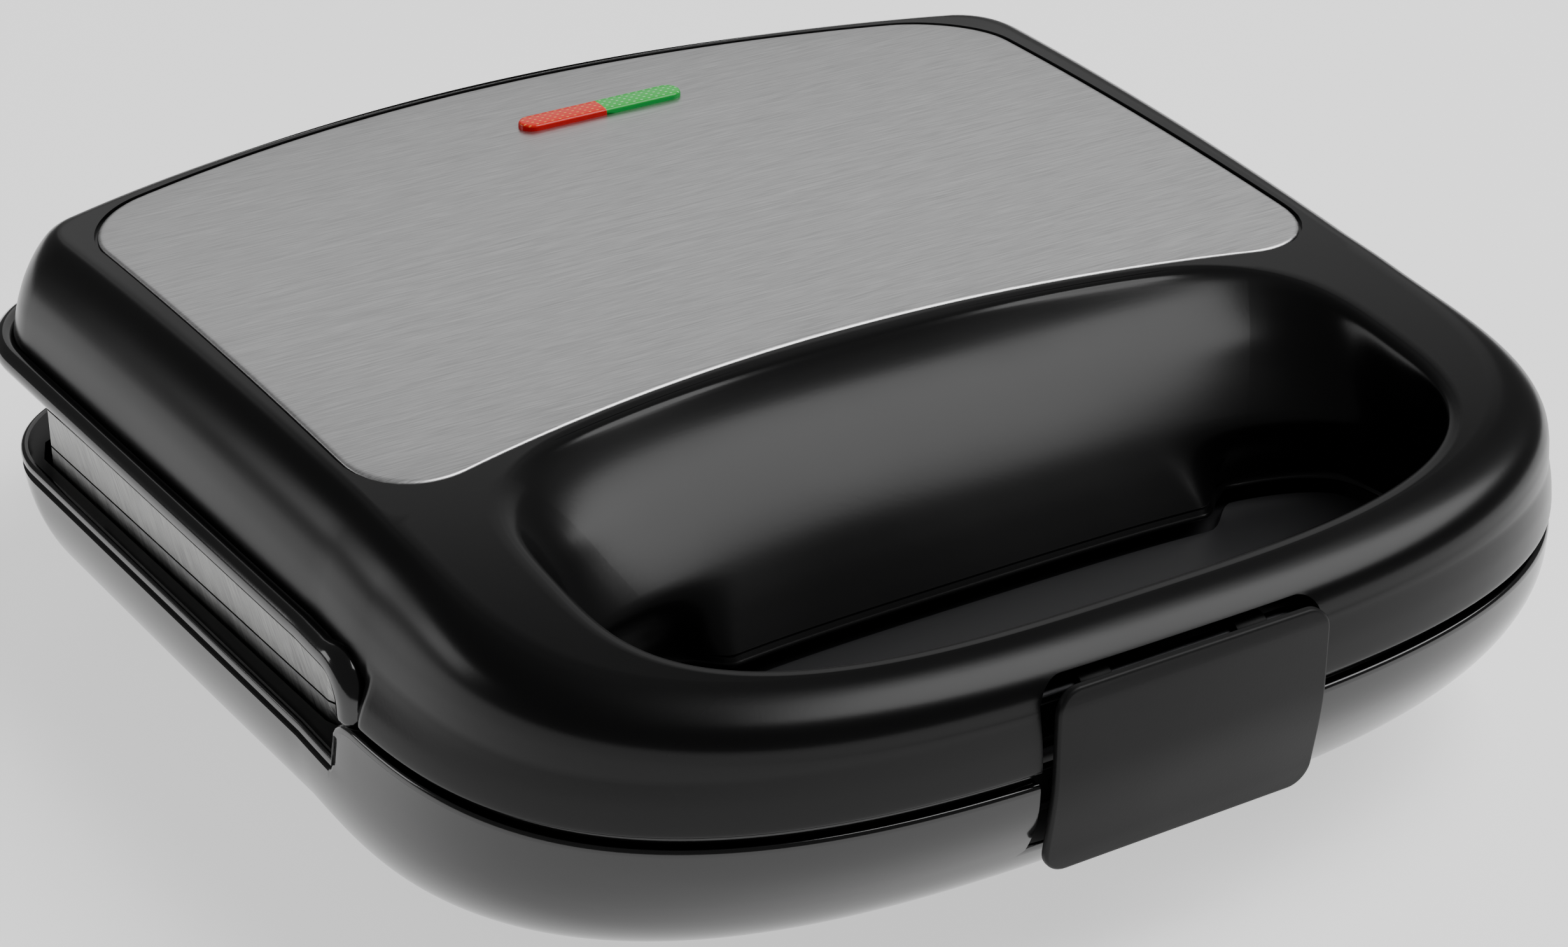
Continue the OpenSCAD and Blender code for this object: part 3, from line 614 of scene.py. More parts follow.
def build_base():
    """The base's bowl, its wall and the rim round the handle and the ledge."""
    rows = []
    rise = np.clip((RIM_END_Y - BASE_Y) / 8.2, 0, 1)
    wall_up = 0.45 * (1 - ease(RIM_END_Y - 1, RIM_END_Y, BASE_Y))
    in_front = np.minimum(1, wall_up + 0.55 * np.sqrt(np.maximum(0, 1 - (1 - rise) ** 2)))
    in_front = np.where(BASE_Y > RIM_END_Y, 0, in_front)
    low_z = 30.5
    for a in np.linspace(math.pi / 2, math.asin((RIM_Z - low_z) / (RIM_Z - FOOT_H)), 26):
        z = RIM_Z - (RIM_Z - FOOT_H) * math.sin(a)
        side, front = bowl_inset(z)
        xy = half_outline(BASE_REAR, side)
        xy[:, 1] += front * (1 - ease(-90, 40, xy[:, 1]))
        rows.append(ring_xyz(xy, z))
    # wall above, which ends at the ledge or at the rim
    for f in np.linspace(0, 1, 10)[1:]:
        z_front = low_z + (RIM_Z - 1.2 - low_z) * f
        side_f, front = bowl_inset(z_front)
        z_side = low_z + (LEDGE_Z - 1.4 - low_z) * f
        side_s = bowl_inset(z_side)[0] + 1.3 * (1 - ease(0.93, 1.0, f)) * ease(0.0, 0.3, f)
        side = side_f * in_front + side_s * (1 - in_front)
        z = z_front * in_front + z_side * (1 - in_front)
        xy = half_outline(BASE_REAR, side)
        xy[:, 1] += front * (1 - ease(-90, 40, xy[:, 1]))
        rows.append(ring_xyz(xy, z))
    for (fi, fz), (si, sz) in RIM_ROWS:
        inset = fi * in_front + si * (1 - in_front)
        z = (RIM_Z + fz) * in_front + (LEDGE_Z + sz) * (1 - in_front)
        rows.append(ring_xyz(half_outline(BASE_REAR, inset), z))
    first = np.array(rows[0])
    cap = []
    for k in (0, 0.3, 0.6, 0.85, 0.95):
        ring = first.copy()
        ring[:, :2] = np.array([0, 10]) + (first[:, :2] - np.array([0, 10])) * k
        cap.append(ring)
    shell = sheet("base_shell", np.array(cap + rows))
    weld(shell)
    return shell


def reaches(points, centre, count):
    """How far a closed outline lies from a centre, at even angles: cosine, sine, distance."""
    rel = np.asarray(points, float) - centre
    after = np.roll(rel, -1, axis=0)
    out = []
    for a in np.linspace(0, 2 * math.pi, count, endpoint=False):
        c, s = math.cos(a), math.sin(a)
        side = rel[:, 0] * s - rel[:, 1] * c
        side_after = after[:, 0] * s - after[:, 1] * c
        reach = math.inf
        for i in np.nonzero((side >= 0) != (side_after >= 0))[0]:
            t = side[i] / (side[i] - side_after[i])
            r = (rel[i] + (after[i] - rel[i]) * t) @ np.array([c, s])
            if r > 0:
                reach = min(reach, r)
        out.append((c, s, reach))
    return out


def seen_from(points, centre, count):
    """A closed outline as points seen from a centre at even angles."""
    return np.array([(centre[0] + r * c, centre[1] + r * s) for c, s, r in reaches(points, centre, count)])


def cut_outline(count, centre, inset, y_cut, keep_front):
    """The base's outline cut off by a line across it, as points seen from a centre at even angles."""
    out = []
    for c, s, r in reaches(mirrored(half_outline(BASE_REAR, inset)), centre, count):
        if abs(s) > 1e-6 and (s > 0) == keep_front:
            r = min(r, (y_cut - centre[1]) / s)
        out.append((centre[0] + r * c, centre[1] + r * s))
    return np.array(out)


def plate_outline(grow):
    """Outline of the cooking plates, grown outwards."""
    front, rear, k = -42.5 - grow, 81 + grow, 9.0

    def half_w(y):
        return HALF_W - PLATE_IN + TAPER * (y - FRONT_Y) + grow

    half = [(half_w(front) - k, front), (half_w(front) - 0.3 * k, front + 0.3 * k), (half_w(front), front + k),
            (half_w(rear), rear - k), (half_w(rear) - 0.3 * k, rear - 0.3 * k), (half_w(rear) - k, rear)]
    return half + [(-x, y) for x, y in half[::-1]]


def build_ledge():
    """The flat ledge between the rim and the cooking plate."""
    centre = np.array([0.0, 20.0])
    outer = cut_outline(360, centre, 0.9, -48.2, False)
    inner = seen_from(plate_outline(1.1), centre, 360)
    rows = []
    for k, z in ((0, 30), (0, LEDGE_Z - 0.3), (0.03, LEDGE_Z - 0.02), (0.3, LEDGE_Z), (0.6, LEDGE_Z), (0.97, LEDGE_Z),
                 (1, LEDGE_Z - 0.05)):
        xy = inner + (outer - inner) * k
        rows.append(np.column_stack([xy, np.full(len(xy), z)]))
    ledge = sheet("base_ledge", np.array(rows))
    weld(ledge)
    face_up(ledge)
    return ledge


def flat_plate(name, points, z0, z1, bevel=0.0):
    """A level plate with this outline, between two heights, its upper edge bevelled."""
    deselect()
    bpy.ops.mesh.primitive_circle_add(vertices=len(points), fill_type="NGON", radius=1)
    obj = bpy.context.object
    obj.name = name
    for vertex, (x, y) in zip(obj.data.vertices, points):
        vertex.co = Vector((x, y, z0)) * MM
    edit(obj)
    bpy.ops.mesh.extrude_region_move(TRANSFORM_OT_translate={"value": (0, 0, (z1 - z0) * MM)})
    if bevel:
        bpy.ops.mesh.inset(thickness=bevel * MM, depth=0)
        mesh = bmesh.from_edit_mesh(obj.data)
        top = [v for v in mesh.verts if v.co.z > (z1 - 0.01) * MM]
        inner = {v for f in mesh.faces if f.select for v in f.verts}
        for v in top:
            if v not in inner:
                v.co.z -= bevel * MM
        bmesh.update_edit_mesh(obj.data)
    bpy.ops.mesh.select_all(action="SELECT")
    bpy.ops.mesh.normals_make_consistent(inside=False)
    close_edit()
    return obj


def build_deck():
    """Raised floor under the recess, with a fine edge, and the lower floor round it."""
    x, y = foot_curve(np.linspace(0, 2 * math.pi, 480, endpoint=False), -1.6)
    top = flat_plate("handle_deck", np.column_stack([x, y]), DECK_Z - 3.0, DECK_Z, bevel=0.35)
    outer = cut_outline(240, np.array([0.0, -84.0]), 3.6, -46.7, True)
    low = flat_plate("handle_floor", outer, DECK_Z - 3.4, DECK_Z - 2.2)
    return join(top, low)


# ---------- materials ----------

# Sockets of a Mix node that share their names with others: two colours in, a colour out, and the same for numbers
COLOR_A, COLOR_B, COLOR_OUT = 6, 7, 2
FLOAT_A, FLOAT_B, FLOAT_OUT = 2, 3, 0


def new_material(name, color, roughness, metallic=0.0, **sockets):
    """A plain material, its tree and its shader."""
    mat = bpy.data.materials.new(name)
    mat.use_nodes = True
    mat.diffuse_color = (*color, 1)
    shader = mat.node_tree.nodes["Principled BSDF"]
    shader.inputs["Base Color"].default_value = (*color, 1)
    shader.inputs["Roughness"].default_value = roughness
    shader.inputs["Metallic"].default_value = metallic
    for key, value in sockets.items():
        shader.inputs[key.replace("_", " ")].default_value = value
    return mat, mat.node_tree, shader


def node(tree, kind, **settings):
    """Adds a node; a setting that starts with in_ is the value of a socket."""
    n = tree.nodes.new(kind)
    for key, value in settings.items():
        if key.startswith("in_"):
            n.inputs[key[3:].replace("_", " ")].default_value = value
        else:
            setattr(n, key, value)
    return n


def wire(source, output, target, socket):
    """Links an output of one node to an input of another in the same tree."""
    source.id_data.links.new(source.outputs[output], target.inputs[socket])


def group(name, inputs, outputs):
    """An empty node group with these sockets, and its input and output nodes."""
    tree = bpy.data.node_groups.new(name, "ShaderNodeTree")
    for label, kind, value in inputs:
        socket = tree.interface.new_socket(name=label, in_out="INPUT", socket_type=kind)
        if value is not None:
            socket.default_value = value
    for label, kind in outputs:
        tree.interface.new_socket(name=label, in_out="OUTPUT", socket_type=kind)
    return tree, tree.nodes.new("NodeGroupInput"), tree.nodes.new("NodeGroupOutput")


def make_grain_group():
    """Fine moulded grain and faint cloudy smears: gives a roughness and a height."""
    tree, gin, gout = group("Moulded grain", [
        ("Grain Scale", "NodeSocketFloat", 2600.0), ("Smear Scale", "NodeSocketFloat", 18.0),
        ("Roughness Low", "NodeSocketFloat", 0.14), ("Roughness High", "NodeSocketFloat", 0.2)],
        [("Roughness", "NodeSocketFloat"), ("Height", "NodeSocketFloat")])
    coord = node(tree, "ShaderNodeTexCoord")
    grain = node(tree, "ShaderNodeTexNoise", in_Detail=2.0)
    smear = node(tree, "ShaderNodeTexNoise", in_Detail=3.0)
    ramp = node(tree, "ShaderNodeMapRange", in_From_Min=0.35, in_From_Max=0.7)
    for tex, label in ((grain, "Grain Scale"), (smear, "Smear Scale")):
        wire(coord, "Object", tex, "Vector")
        tree.links.new(gin.outputs[label], tex.inputs["Scale"])
    wire(smear, "Fac", ramp, "Value")
    wire(gin, "Roughness Low", ramp, "To Min")
    wire(gin, "Roughness High", ramp, "To Max")
    wire(ramp, "Result", gout, "Roughness")
    wire(grain, "Fac", gout, "Height")
    return tree


def make_streak_group():
    """Long fine streaks along one direction, as on brushed or machined metal."""
    tree, gin, gout = group("Metal streaks", [
        ("Turn", "NodeSocketVector", (0, 0, 0)), ("Stretch", "NodeSocketVector", (40.0, 1500.0, 1500.0)),
        ("Dark", "NodeSocketColor", (0.3, 0.3, 0.3, 1)), ("Light", "NodeSocketColor", (0.6, 0.6, 0.6, 1)),
        ("Roughness Low", "NodeSocketFloat", 0.25), ("Roughness High", "NodeSocketFloat", 0.4)],
        [("Color", "NodeSocketColor"), ("Roughness", "NodeSocketFloat"), ("Height", "NodeSocketFloat")])
    coord = node(tree, "ShaderNodeTexCoord")
    turn = node(tree, "ShaderNodeMapping", vector_type="POINT")
    stretch = node(tree, "ShaderNodeMapping", vector_type="POINT")
    fine = node(tree, "ShaderNodeTexNoise", in_Scale=1.0, in_Detail=4.0, in_Roughness=0.65)
    ramp = node(tree, "ShaderNodeMapRange")
    mix = node(tree, "ShaderNodeMix", data_type="RGBA")
    fac = node(tree, "ShaderNodeMapRange", in_From_Min=0.3, in_From_Max=0.7)
    wire(coord, "Object", turn, "Vector")
    wire(gin, "Turn", turn, "Rotation")
    wire(turn, "Vector", stretch, "Vector")
    wire(gin, "Stretch", stretch, "Scale")
    wire(stretch, "Vector", fine, "Vector")
    wire(fine, "Fac", fac, "Value")
    wire(fac, "Result", mix, "Factor")
    wire(gin, "Dark", mix, COLOR_A)
    wire(gin, "Light", mix, COLOR_B)
    wire(fac, "Result", ramp, "Value")
    wire(gin, "Roughness Low", ramp, "To Min")
    wire(gin, "Roughness High", ramp, "To Max")
    wire(mix, COLOR_OUT, gout, "Color")
    wire(ramp, "Result", gout, "Roughness")
    wire(fac, "Result", gout, "Height")
    return tree


def bump(shader, source, strength, distance=0.0001):
    """Bumps a shader by the height that a group gives."""
    n = node(shader.id_data, "ShaderNodeBump", in_Strength=strength, in_Distance=distance)
    wire(source, "Height", n, "Height")
    wire(n, "Normal", shader, "Normal")


def plastic(name, groups, color, low, high, grain=2600.0, strength=0.05, **sockets):
    """Moulded plastic with roughness between low and high."""
    mat, tree, shader = new_material(name, color, (low + high) / 2, **sockets)
    g = node(tree, "ShaderNodeGroup", node_tree=groups["grain"], in_Grain_Scale=grain,
             in_Roughness_Low=low, in_Roughness_High=high)
    wire(g, "Roughness", shader, "Roughness")
    bump(shader, g, strength)
    return mat


def metal(name, groups, dark, light, low, high, stretch, strength=0.15):
    """Streaked metal between a dark and a light grey, with roughness between low and high."""
    mat, tree, shader = new_material(name, light, (low + high) / 2, 1.0)
    g = node(tree, "ShaderNodeGroup", node_tree=groups["streaks"], in_Stretch=stretch,
             in_Dark=(*dark, 1), in_Light=(*light, 1), in_Roughness_Low=low, in_Roughness_High=high)
    wire(g, "Color", shader, "Base Color")
    wire(g, "Roughness", shader, "Roughness")
    bump(shader, g, strength)
    return mat


def lens_material(name, shaded_side_color, face, painted_glint_color):
    """Tinted lens with painted light: lighter on top where it faces up, darker at its sides as painted shade, with
    rows of painted highlights on top, as from the ribs underneath.
    """
    mat, tree, shader = new_material(name, shaded_side_color, 0.12, IOR=1.35)
    coord = node(tree, "ShaderNodeTexCoord")
    turn = node(tree, "ShaderNodeMapping", vector_type="POINT")
    turn.inputs["Rotation"].default_value = (0, 0, math.radians(-32))
    # Two crossed waves give rows of spots; these are painted highlights in the colour, not a pattern of the lens.
    wave = node(tree, "ShaderNodeTexWave", bands_direction="X", in_Scale=225.0)
    rows = node(tree, "ShaderNodeTexWave", bands_direction="Y", in_Scale=330.0)
    wire(coord, "Object", turn, "Vector")
    wire(turn, "Vector", wave, "Vector")
    wire(coord, "Object", rows, "Vector")
    both = node(tree, "ShaderNodeMath", operation="MULTIPLY")
    wire(wave, "Fac", both, 0)
    wire(rows, "Fac", both, 1)
    painted_glints = node(tree, "ShaderNodeMapRange", in_From_Min=0.68, in_From_Max=0.9)
    wire(both, "Value", painted_glints, "Value")
    # How far the surface faces up: the top gets the lit colour, the sides the painted shade.
    form = node(tree, "ShaderNodeNewGeometry")
    up = node(tree, "ShaderNodeSeparateXYZ")
    wire(form, "Normal", up, "Vector")
    lit_top_share = node(tree, "ShaderNodeMapRange", in_From_Min=0.3, in_From_Max=0.95)
    wire(up, "Z", lit_top_share, "Value")
    # The painted highlights show only on the top.
    amount = node(tree, "ShaderNodeMath", operation="MULTIPLY")
    wire(painted_glints, "Result", amount, 0)
    wire(lit_top_share, "Result", amount, 1)
    # Painted shade at the sides, blending into the lit colour on top.
    base = node(tree, "ShaderNodeMix", data_type="RGBA")
    base.inputs[COLOR_A].default_value = (*shaded_side_color, 1)
    base.inputs[COLOR_B].default_value = (*face, 1)
    wire(lit_top_share, "Result", base, "Factor")
    mix = node(tree, "ShaderNodeMix", data_type="RGBA")
    wire(amount, "Value", mix, "Factor")
    wire(base, COLOR_OUT, mix, COLOR_A)
    mix.inputs[COLOR_B].default_value = (*painted_glint_color, 1)
    wire(mix, COLOR_OUT, shader, "Base Color")
    # The lens glows a little in this colour; the painted highlights and the painted shade glow with it.
    wire(mix, COLOR_OUT, shader, "Emission Color")
    shader.inputs["Emission Strength"].default_value = 0.2
    return mat


def plate_material(groups):
    """Machined raw aluminium at the rim's edge, dark non-stick coat on the rest."""
    mat, tree, shader = new_material("Cooking plate", (0.5, 0.5, 0.5), 0.4, 1.0)
    streaks = node(tree, "ShaderNodeGroup", node_tree=groups["streaks"], in_Turn=(-0.95, 0, 0),
                   in_Stretch=(1500.0, 130.0, 4200.0), in_Dark=(0.22, 0.22, 0.22, 1),
                   in_Light=(0.50, 0.50, 0.49, 1), in_Roughness_Low=0.4, in_Roughness_High=0.58)
    coord = node(tree, "ShaderNodeTexCoord")
    split = node(tree, "ShaderNodeSeparateXYZ")
    wire(coord, "Object", split, "Vector")
    across = node(tree, "ShaderNodeMath", operation="ABSOLUTE")
    wire(split, "X", across, 0)
    lean = node(tree, "ShaderNodeMath", operation="MULTIPLY_ADD")
    wire(split, "Y", lean, 0)
    lean.inputs[1].default_value = -TAPER
    wire(across, "Value", lean, 2)
    raw = node(tree, "ShaderNodeMath", operation="GREATER_THAN")
    raw.inputs[1].default_value = (HALF_W - PLATE_IN - TAPER * FRONT_Y - 9.2) * MM
    wire(lean, "Value", raw, 0)
    geo = node(tree, "ShaderNodeNewGeometry")
    up = node(tree, "ShaderNodeSeparateXYZ")
    wire(geo, "Normal", up, "Vector")
    level = node(tree, "ShaderNodeMath", operation="ABSOLUTE")
    wire(up, "Z", level, 0)
    wall = node(tree, "ShaderNodeMath", operation="LESS_THAN")
    wall.inputs[1].default_value = 0.5
    wire(level, "Value", wall, 0)
    mask = node(tree, "ShaderNodeMath", operation="MULTIPLY")
    wire(raw, "Value", mask, 0)
    wire(wall, "Value", mask, 1)
    color = node(tree, "ShaderNodeMix", data_type="RGBA")
    color.inputs[COLOR_A].default_value = (0.018, 0.018, 0.019, 1)
    wire(mask, "Value", color, "Factor")
    wire(streaks, "Color", color, COLOR_B)
    wire(color, COLOR_OUT, shader, "Base Color")
    wire(mask, "Value", shader, "Metallic")
    rough = node(tree, "ShaderNodeMix", data_type="FLOAT")
    rough.inputs[FLOAT_A].default_value = 0.42
    wire(mask, "Value", rough, "Factor")
    wire(streaks, "Roughness", rough, FLOAT_B)
    wire(rough, FLOAT_OUT, shader, "Roughness")
    bump(shader, streaks, 0.25, 0.00015)
    return mat


MATS = {}


def make_materials():
    """Every finish of the toaster, by a short name."""
    groups = {"grain": make_grain_group(), "streaks": make_streak_group()}
    finish = bpy.context.scene.toaster_finish
    black = tuple(finish.shell_color)
    MATS["shell"] = plastic("Gloss black plastic", groups, black, 0.1, 0.17, strength=0.03, IOR=1.58)
    MATS["lid"] = plastic("Lid black plastic", groups, black, 0.22, 0.28, grain=1500.0, IOR=1.31)
    MATS["ledge"] = plastic("Ledge black plastic", groups, black, 0.3, 0.36, strength=0.03, IOR=1.3)
    MATS["deck"] = plastic("Deck black plastic", groups, (0.014, 0.014, 0.015), 0.3, 0.38, 1600.0, 0.06)
    MATS["matte"] = plastic("Matte black plastic", groups, (0.0055, 0.0055, 0.0056), 0.42, 0.5, 2200.0, 0.1, IOR=1.27)
    MATS["rubber"] = plastic("Black rubber", groups, (0.02, 0.02, 0.02), 0.6, 0.75, 1800.0, 0.2)
    MATS["ivory"] = plastic("Ivory resin", groups, (0.62, 0.57, 0.45), 0.4, 0.5)
    MATS["brown"] = plastic("Brown resin", groups, (0.11, 0.055, 0.03), 0.35, 0.45)
    MATS["white"] = plastic("Glazed white", groups, (0.7, 0.7, 0.66), 0.15, 0.25)
    # name, dark and light grey, lowest and highest roughness, how the streaks run along x, y and z, bump
    for key, *values in (
            ("steel", "Brushed steel", (0.50, 0.50, 0.502), (0.82, 0.82, 0.822), 0.34, 0.4, (110, 3600, 3600), 0.02),
            ("pin", "Drawn steel", (0.42, 0.42, 0.43), (0.62, 0.62, 0.63), 0.22, 0.34, (60, 2500, 2500)),
            ("dark_pin", "Blackened steel", (0.02, 0.02, 0.021), (0.04, 0.04, 0.042), 0.35, 0.5, (60, 2500, 2500)),
            ("zinc", "Zinc plated steel", (0.45, 0.45, 0.44), (0.66, 0.66, 0.64), 0.28, 0.4, (700, 700, 700)),
            ("sheath", "Oxidised sheath", (0.12, 0.11, 0.10), (0.27, 0.25, 0.22), 0.4, 0.55, (300, 300, 300)),
            ("tray", "Pressed aluminium", (0.5, 0.5, 0.51), (0.68, 0.68, 0.69), 0.3, 0.42, (80, 900, 900))):
        name, *rest = values
        MATS[key] = metal(name, groups, *rest)
    MATS["plate"] = plate_material(groups)
    # Each lens half: a darker tint painted at its sides as shade, the colour of its lit top, and the colour of its
    # painted highlights.
    MATS["red"] = lens_material("Red lens", (0.40, 0.004, 0.006), tuple(finish.red_color), (0.95, 0.42, 0.10))
    MATS["green"] = lens_material("Green lens", (0.004, 0.24, 0.035), tuple(finish.green_color), (0.45, 0.88, 0.48))
    MATS["glass"] = new_material("Lamp glass", (0.9, 0.8, 0.65), 0.05, Transmission_Weight=0.8, IOR=1.5)[0]


# ---------- operators ----------

def colour(name, description, default):
    """A colour that a user can change."""
    return bpy.props.FloatVectorProperty(name=name, description=description, subtype="COLOR", size=3, min=0, max=1,
                                         default=default)


def length(name, description, default, low, high):
    """A length that a user can change, given in millimetres and held in metres."""
    return bpy.props.FloatProperty(name=name, description=description, subtype="DISTANCE", unit="LENGTH",
                                   min=low * MM, max=high * MM, default=default * MM, precision=5)


class ToasterFinish(bpy.types.PropertyGroup):
    """Colours and sizes that a user would change."""
    shell_color: colour("Shell colour", "Colour of both housings", (0.0022, 0.0022, 0.0023))
    # The lens colours are for the lit top; the lens material paints the sides darker as shade.
    red_color: colour("Red lens colour", "Top of the red half of the lens", (0.78, 0.030, 0.018))
    green_color: colour("Green lens colour", "Top of the green half of the lens", (0.025, 0.50, 0.065))
    floor_color: colour("Floor colour", "Colour of the floor", (0.93, 0.93, 0.93))
    bead_radius: length("Bead radius", "Radius of the lid's bead at its sides and rear", 2.3, 1.5, 3)
    lens_rise: length("Lens rise", "Height of the lens above the steel plate", 1.3, 0.8, 3)


# Axis of the latch; then the lid's hinge: its middle, axis, boss, and half the width of an arm and of an ear
LATCH_Y = -115.6
HINGE_X = 70
HINGE_Y = 119.4
HINGE_Z = 39.5
BARREL_R = 5
ARM_HALF = 3.8
EAR_GAP = 0.4
EAR_HALF = 2.8
# Side views as (y, z): an arm of the lid, an ear of the base, a cheek of the notch behind the latch
ARM_SIDE = [(108, 45.6), (108, 54), (114, 51), (120.5, 44.6), (115.5, 36.5), (114.2, 38.5)]
EAR_SIDE = [(102, 22), (102, 33.6), (115.4, 42.3), (123.2, 36.5), (118.9, 34.6)]
CHEEK_SIDE = [(-115.4, 28.6), (-116.9, 29.2), (-117.6, 31), (-118.8, 34), (-119.6, 37), (-120, 40), (-120, 42.1),
              (-115.4, 42.1)]


def hinge_leaf(outline, x0, x1):
    """A flat piece with a round boss about the hinge's axis."""
    leaf = side_plate("leaf", outline, x0, x1)
    return leaf, rod("boss", BARREL_R, (x0, HINGE_Y, HINGE_Z), (x1, HINGE_Y, HINGE_Z), bevel=0.3)


class TOASTER_OT_lid(bpy.types.Operator):
    """Model the lid's skin, bead and hinge arms"""
    bl_idname = "toaster.lid"
    bl_label = "Lid"

    def execute(self, context):
        skin = build_lid()
        apply(skin, "SOLIDIFY", thickness=2.0 * MM, offset=-1)
        # notch that the latch swings in
        cutter = rounded_slab("cutter", (-27.0, -130, 38), (27.0, -113.2, 59.8), 4.6)
        cut_away(skin, cutter)
        finish_piece(skin, "lid", "shell_black", MATS["lid"], "upper_housing", angle=40)
        bead_r = context.scene.toaster_finish.bead_radius / MM
        bead = tube("lid_bead", bead_path(bead_r), bead_r)
        finish_piece(bead, "lid", "shell_black", MATS["shell"], angle=60)
        arms = []
        for s in (-1, 1):
            arms += hinge_leaf(ARM_SIDE, s * HINGE_X - ARM_HALF, s * HINGE_X + ARM_HALF)
        arm = join(*arms)
        arm.name = "lid_hinge_arms"
        finish_piece(arm, "lid", "shell_black", MATS["shell"])
        # lining of the notch, open in front and below
        liner = block("latch_pocket", (-28.0, -116.6, 44.8), (28.0, -112.4, 60.1), bevel=0)
        edit(liner)
        mesh = bmesh.from_edit_mesh(liner.data)
        doomed = [f for f in mesh.faces if f.normal.y < -0.9 or f.normal.z < -0.9]
        bmesh.ops.delete(mesh, geom=doomed, context="FACES")
        bmesh.update_edit_mesh(liner.data)
        close_edit()
        apply(liner, "SOLIDIFY", thickness=0.7 * MM, offset=-1)
        finish_piece(liner, "lid", "shell_black", MATS["matte"])
        return {"FINISHED"}


class TOASTER_OT_base(bpy.types.Operator):
    """Model the base's bowl, ledge, deck and hinge ears"""
    bl_idname = "toaster.base"
    bl_label = "Base"

    def execute(self, context):
        shell = build_base()
        apply(shell, "SOLIDIFY", thickness=0.6 * MM, offset=-1)
        # notch that the closed latch hangs in
        cutter = rounded_slab("cutter", (-27.2, -130, 19), (27.2, -117.2, 70), 1.5)
        cut_away(shell, cutter)
        finish_piece(shell, "base", "shell_black", MATS["shell"], "lower_housing", angle=40)
        ledge = build_ledge()
        finish_piece(ledge, "base", "shell_black", MATS["ledge"])
        deck = build_deck()
        finish_piece(deck, "base", "shell_black", MATS["deck"])
        parts = []
        for s in (-1, 1):
            for k in (-1, 1):
                mid = s * HINGE_X + k * (ARM_HALF + EAR_GAP + EAR_HALF)
                parts += hinge_leaf(EAR_SIDE, mid - EAR_HALF, mid + EAR_HALF)
        ears = join(*parts)
        ears.name = "base_hinge_ears"
        finish_piece(ears, "base", "shell_black", MATS["shell"])
        wall = block("cross_wall", (-106.6, -48.5, 28), (106.6, -46.5, DECK_Z - 2.2), bevel=0.3)
        back = block("back", (-27.6, -117.2, 28.3), (27.6, -115.4, RIM_Z - 0.3), bevel=0.2)
        # slot for the latch's hook
        slot = block("cutter", (-11.5, -125, 31.5), (11.5, -105, 60), bevel=0)
        cut_away(back, slot)
        back = join(back, *(side_plate("cheek", CHEEK_SIDE, x, x + 1.2) for x in (27.2, -28.4)))
        back.name = "latch_notch_back"
        for piece in (wall, back):
            finish_piece(piece, "base", "shell_black", MATS["matte"])
        return {"FINISHED"}


class TOASTER_OT_trim(bpy.types.Operator):
    """Model the brushed steel plate on the lid"""
    bl_idname = "toaster.trim"
    bl_label = "Steel trim plate"

    def execute(self, context):
        first, second = trim_ring(0.0)
        ring = mirrored(np.concatenate([first[:-1], second]))
        rows = []
        way = ring - TRIM_MID
        reach = np.hypot(way[:, 0], way[:, 1])[:, None]
        for k in (0, 0.15, 0.3, 0.45, 0.6, 0.75, 0.9):
            xy = TRIM_MID + way * k
            rows.append(np.column_stack([xy, bent_top(xy[:, 1])]))
        for inset, drop in ((1.3, 0), (0.8, 0.03), (0.42, 0.11), (0.16, 0.25), (0.03, 0.42), (0, 0.6)):
            xy = TRIM_MID + way * (1 - inset / reach)
            rows.append(np.column_stack([xy, bent_top(xy[:, 1]) - drop]))
        plate = sheet("trim_plate", np.array(rows))
        weld(plate)
        face_up(plate)
        finish_piece(plate, "lid", "trim_steel", MATS["steel"], "top_trim_plate", angle=60)
        return {"FINISHED"}


class TOASTER_OT_lens(bpy.types.Operator):
    """Model the two halves of the indicator lens"""
    bl_idname = "toaster.lens"
    bl_label = "Indicator lens"

    def execute(self, context):
        cx, cy, half_l, r = 9.7, 85.3, 17.7, 2.8
        top = float(lid_top(cy)) + context.scene.toaster_finish.lens_rise / MM
        a = np.linspace(-math.pi / 2, math.pi / 2, 25)
        right = np.stack([half_l - r + r * np.cos(a), r * np.sin(a)], 1)
        pill = np.concatenate([right, -right])
        rows = []
        for inset, up in ((0, -4.5), (0, -0.7), (0.05, -0.45), (0.2, -0.2), (0.42, -0.06), (0.75, 0), (1.7, 0.06),
                          (r, 0.1)):
            body = np.sign(pill[:, 0]) * (half_l - r)
            round_part = pill[:, 0] - body
            xy = np.stack([body + round_part * (1 - inset / r), pill[:, 1] * (1 - inset / r)], 1)
            rows.append(np.column_stack([xy[:, 0] + cx, xy[:, 1] + cy, np.full(len(xy), top + up)]))
        for mat, side, cad in (("red", -1, "power_lens"), ("green", 1, "ready_lens")):
            lens = sheet("lens_" + mat, np.array(rows))
            edit(lens)
            bpy.ops.mesh.remove_doubles(threshold=1e-6)
            bpy.ops.mesh.select_all(action="SELECT")
            bpy.ops.mesh.bisect(plane_co=(cx * MM, 0, 0), plane_no=(1, 0, 0), clear_inner=side > 0,
                                clear_outer=side < 0, use_fill=True)
            bpy.ops.mesh.select_all(action="SELECT")
            bpy.ops.mesh.fill_holes(sides=0)
            bpy.ops.mesh.normals_make_consistent(inside=False)
            close_edit()
            finish_piece(lens, "lid", "lens_" + mat, MATS[mat], cad, angle=50)
        return {"FINISHED"}


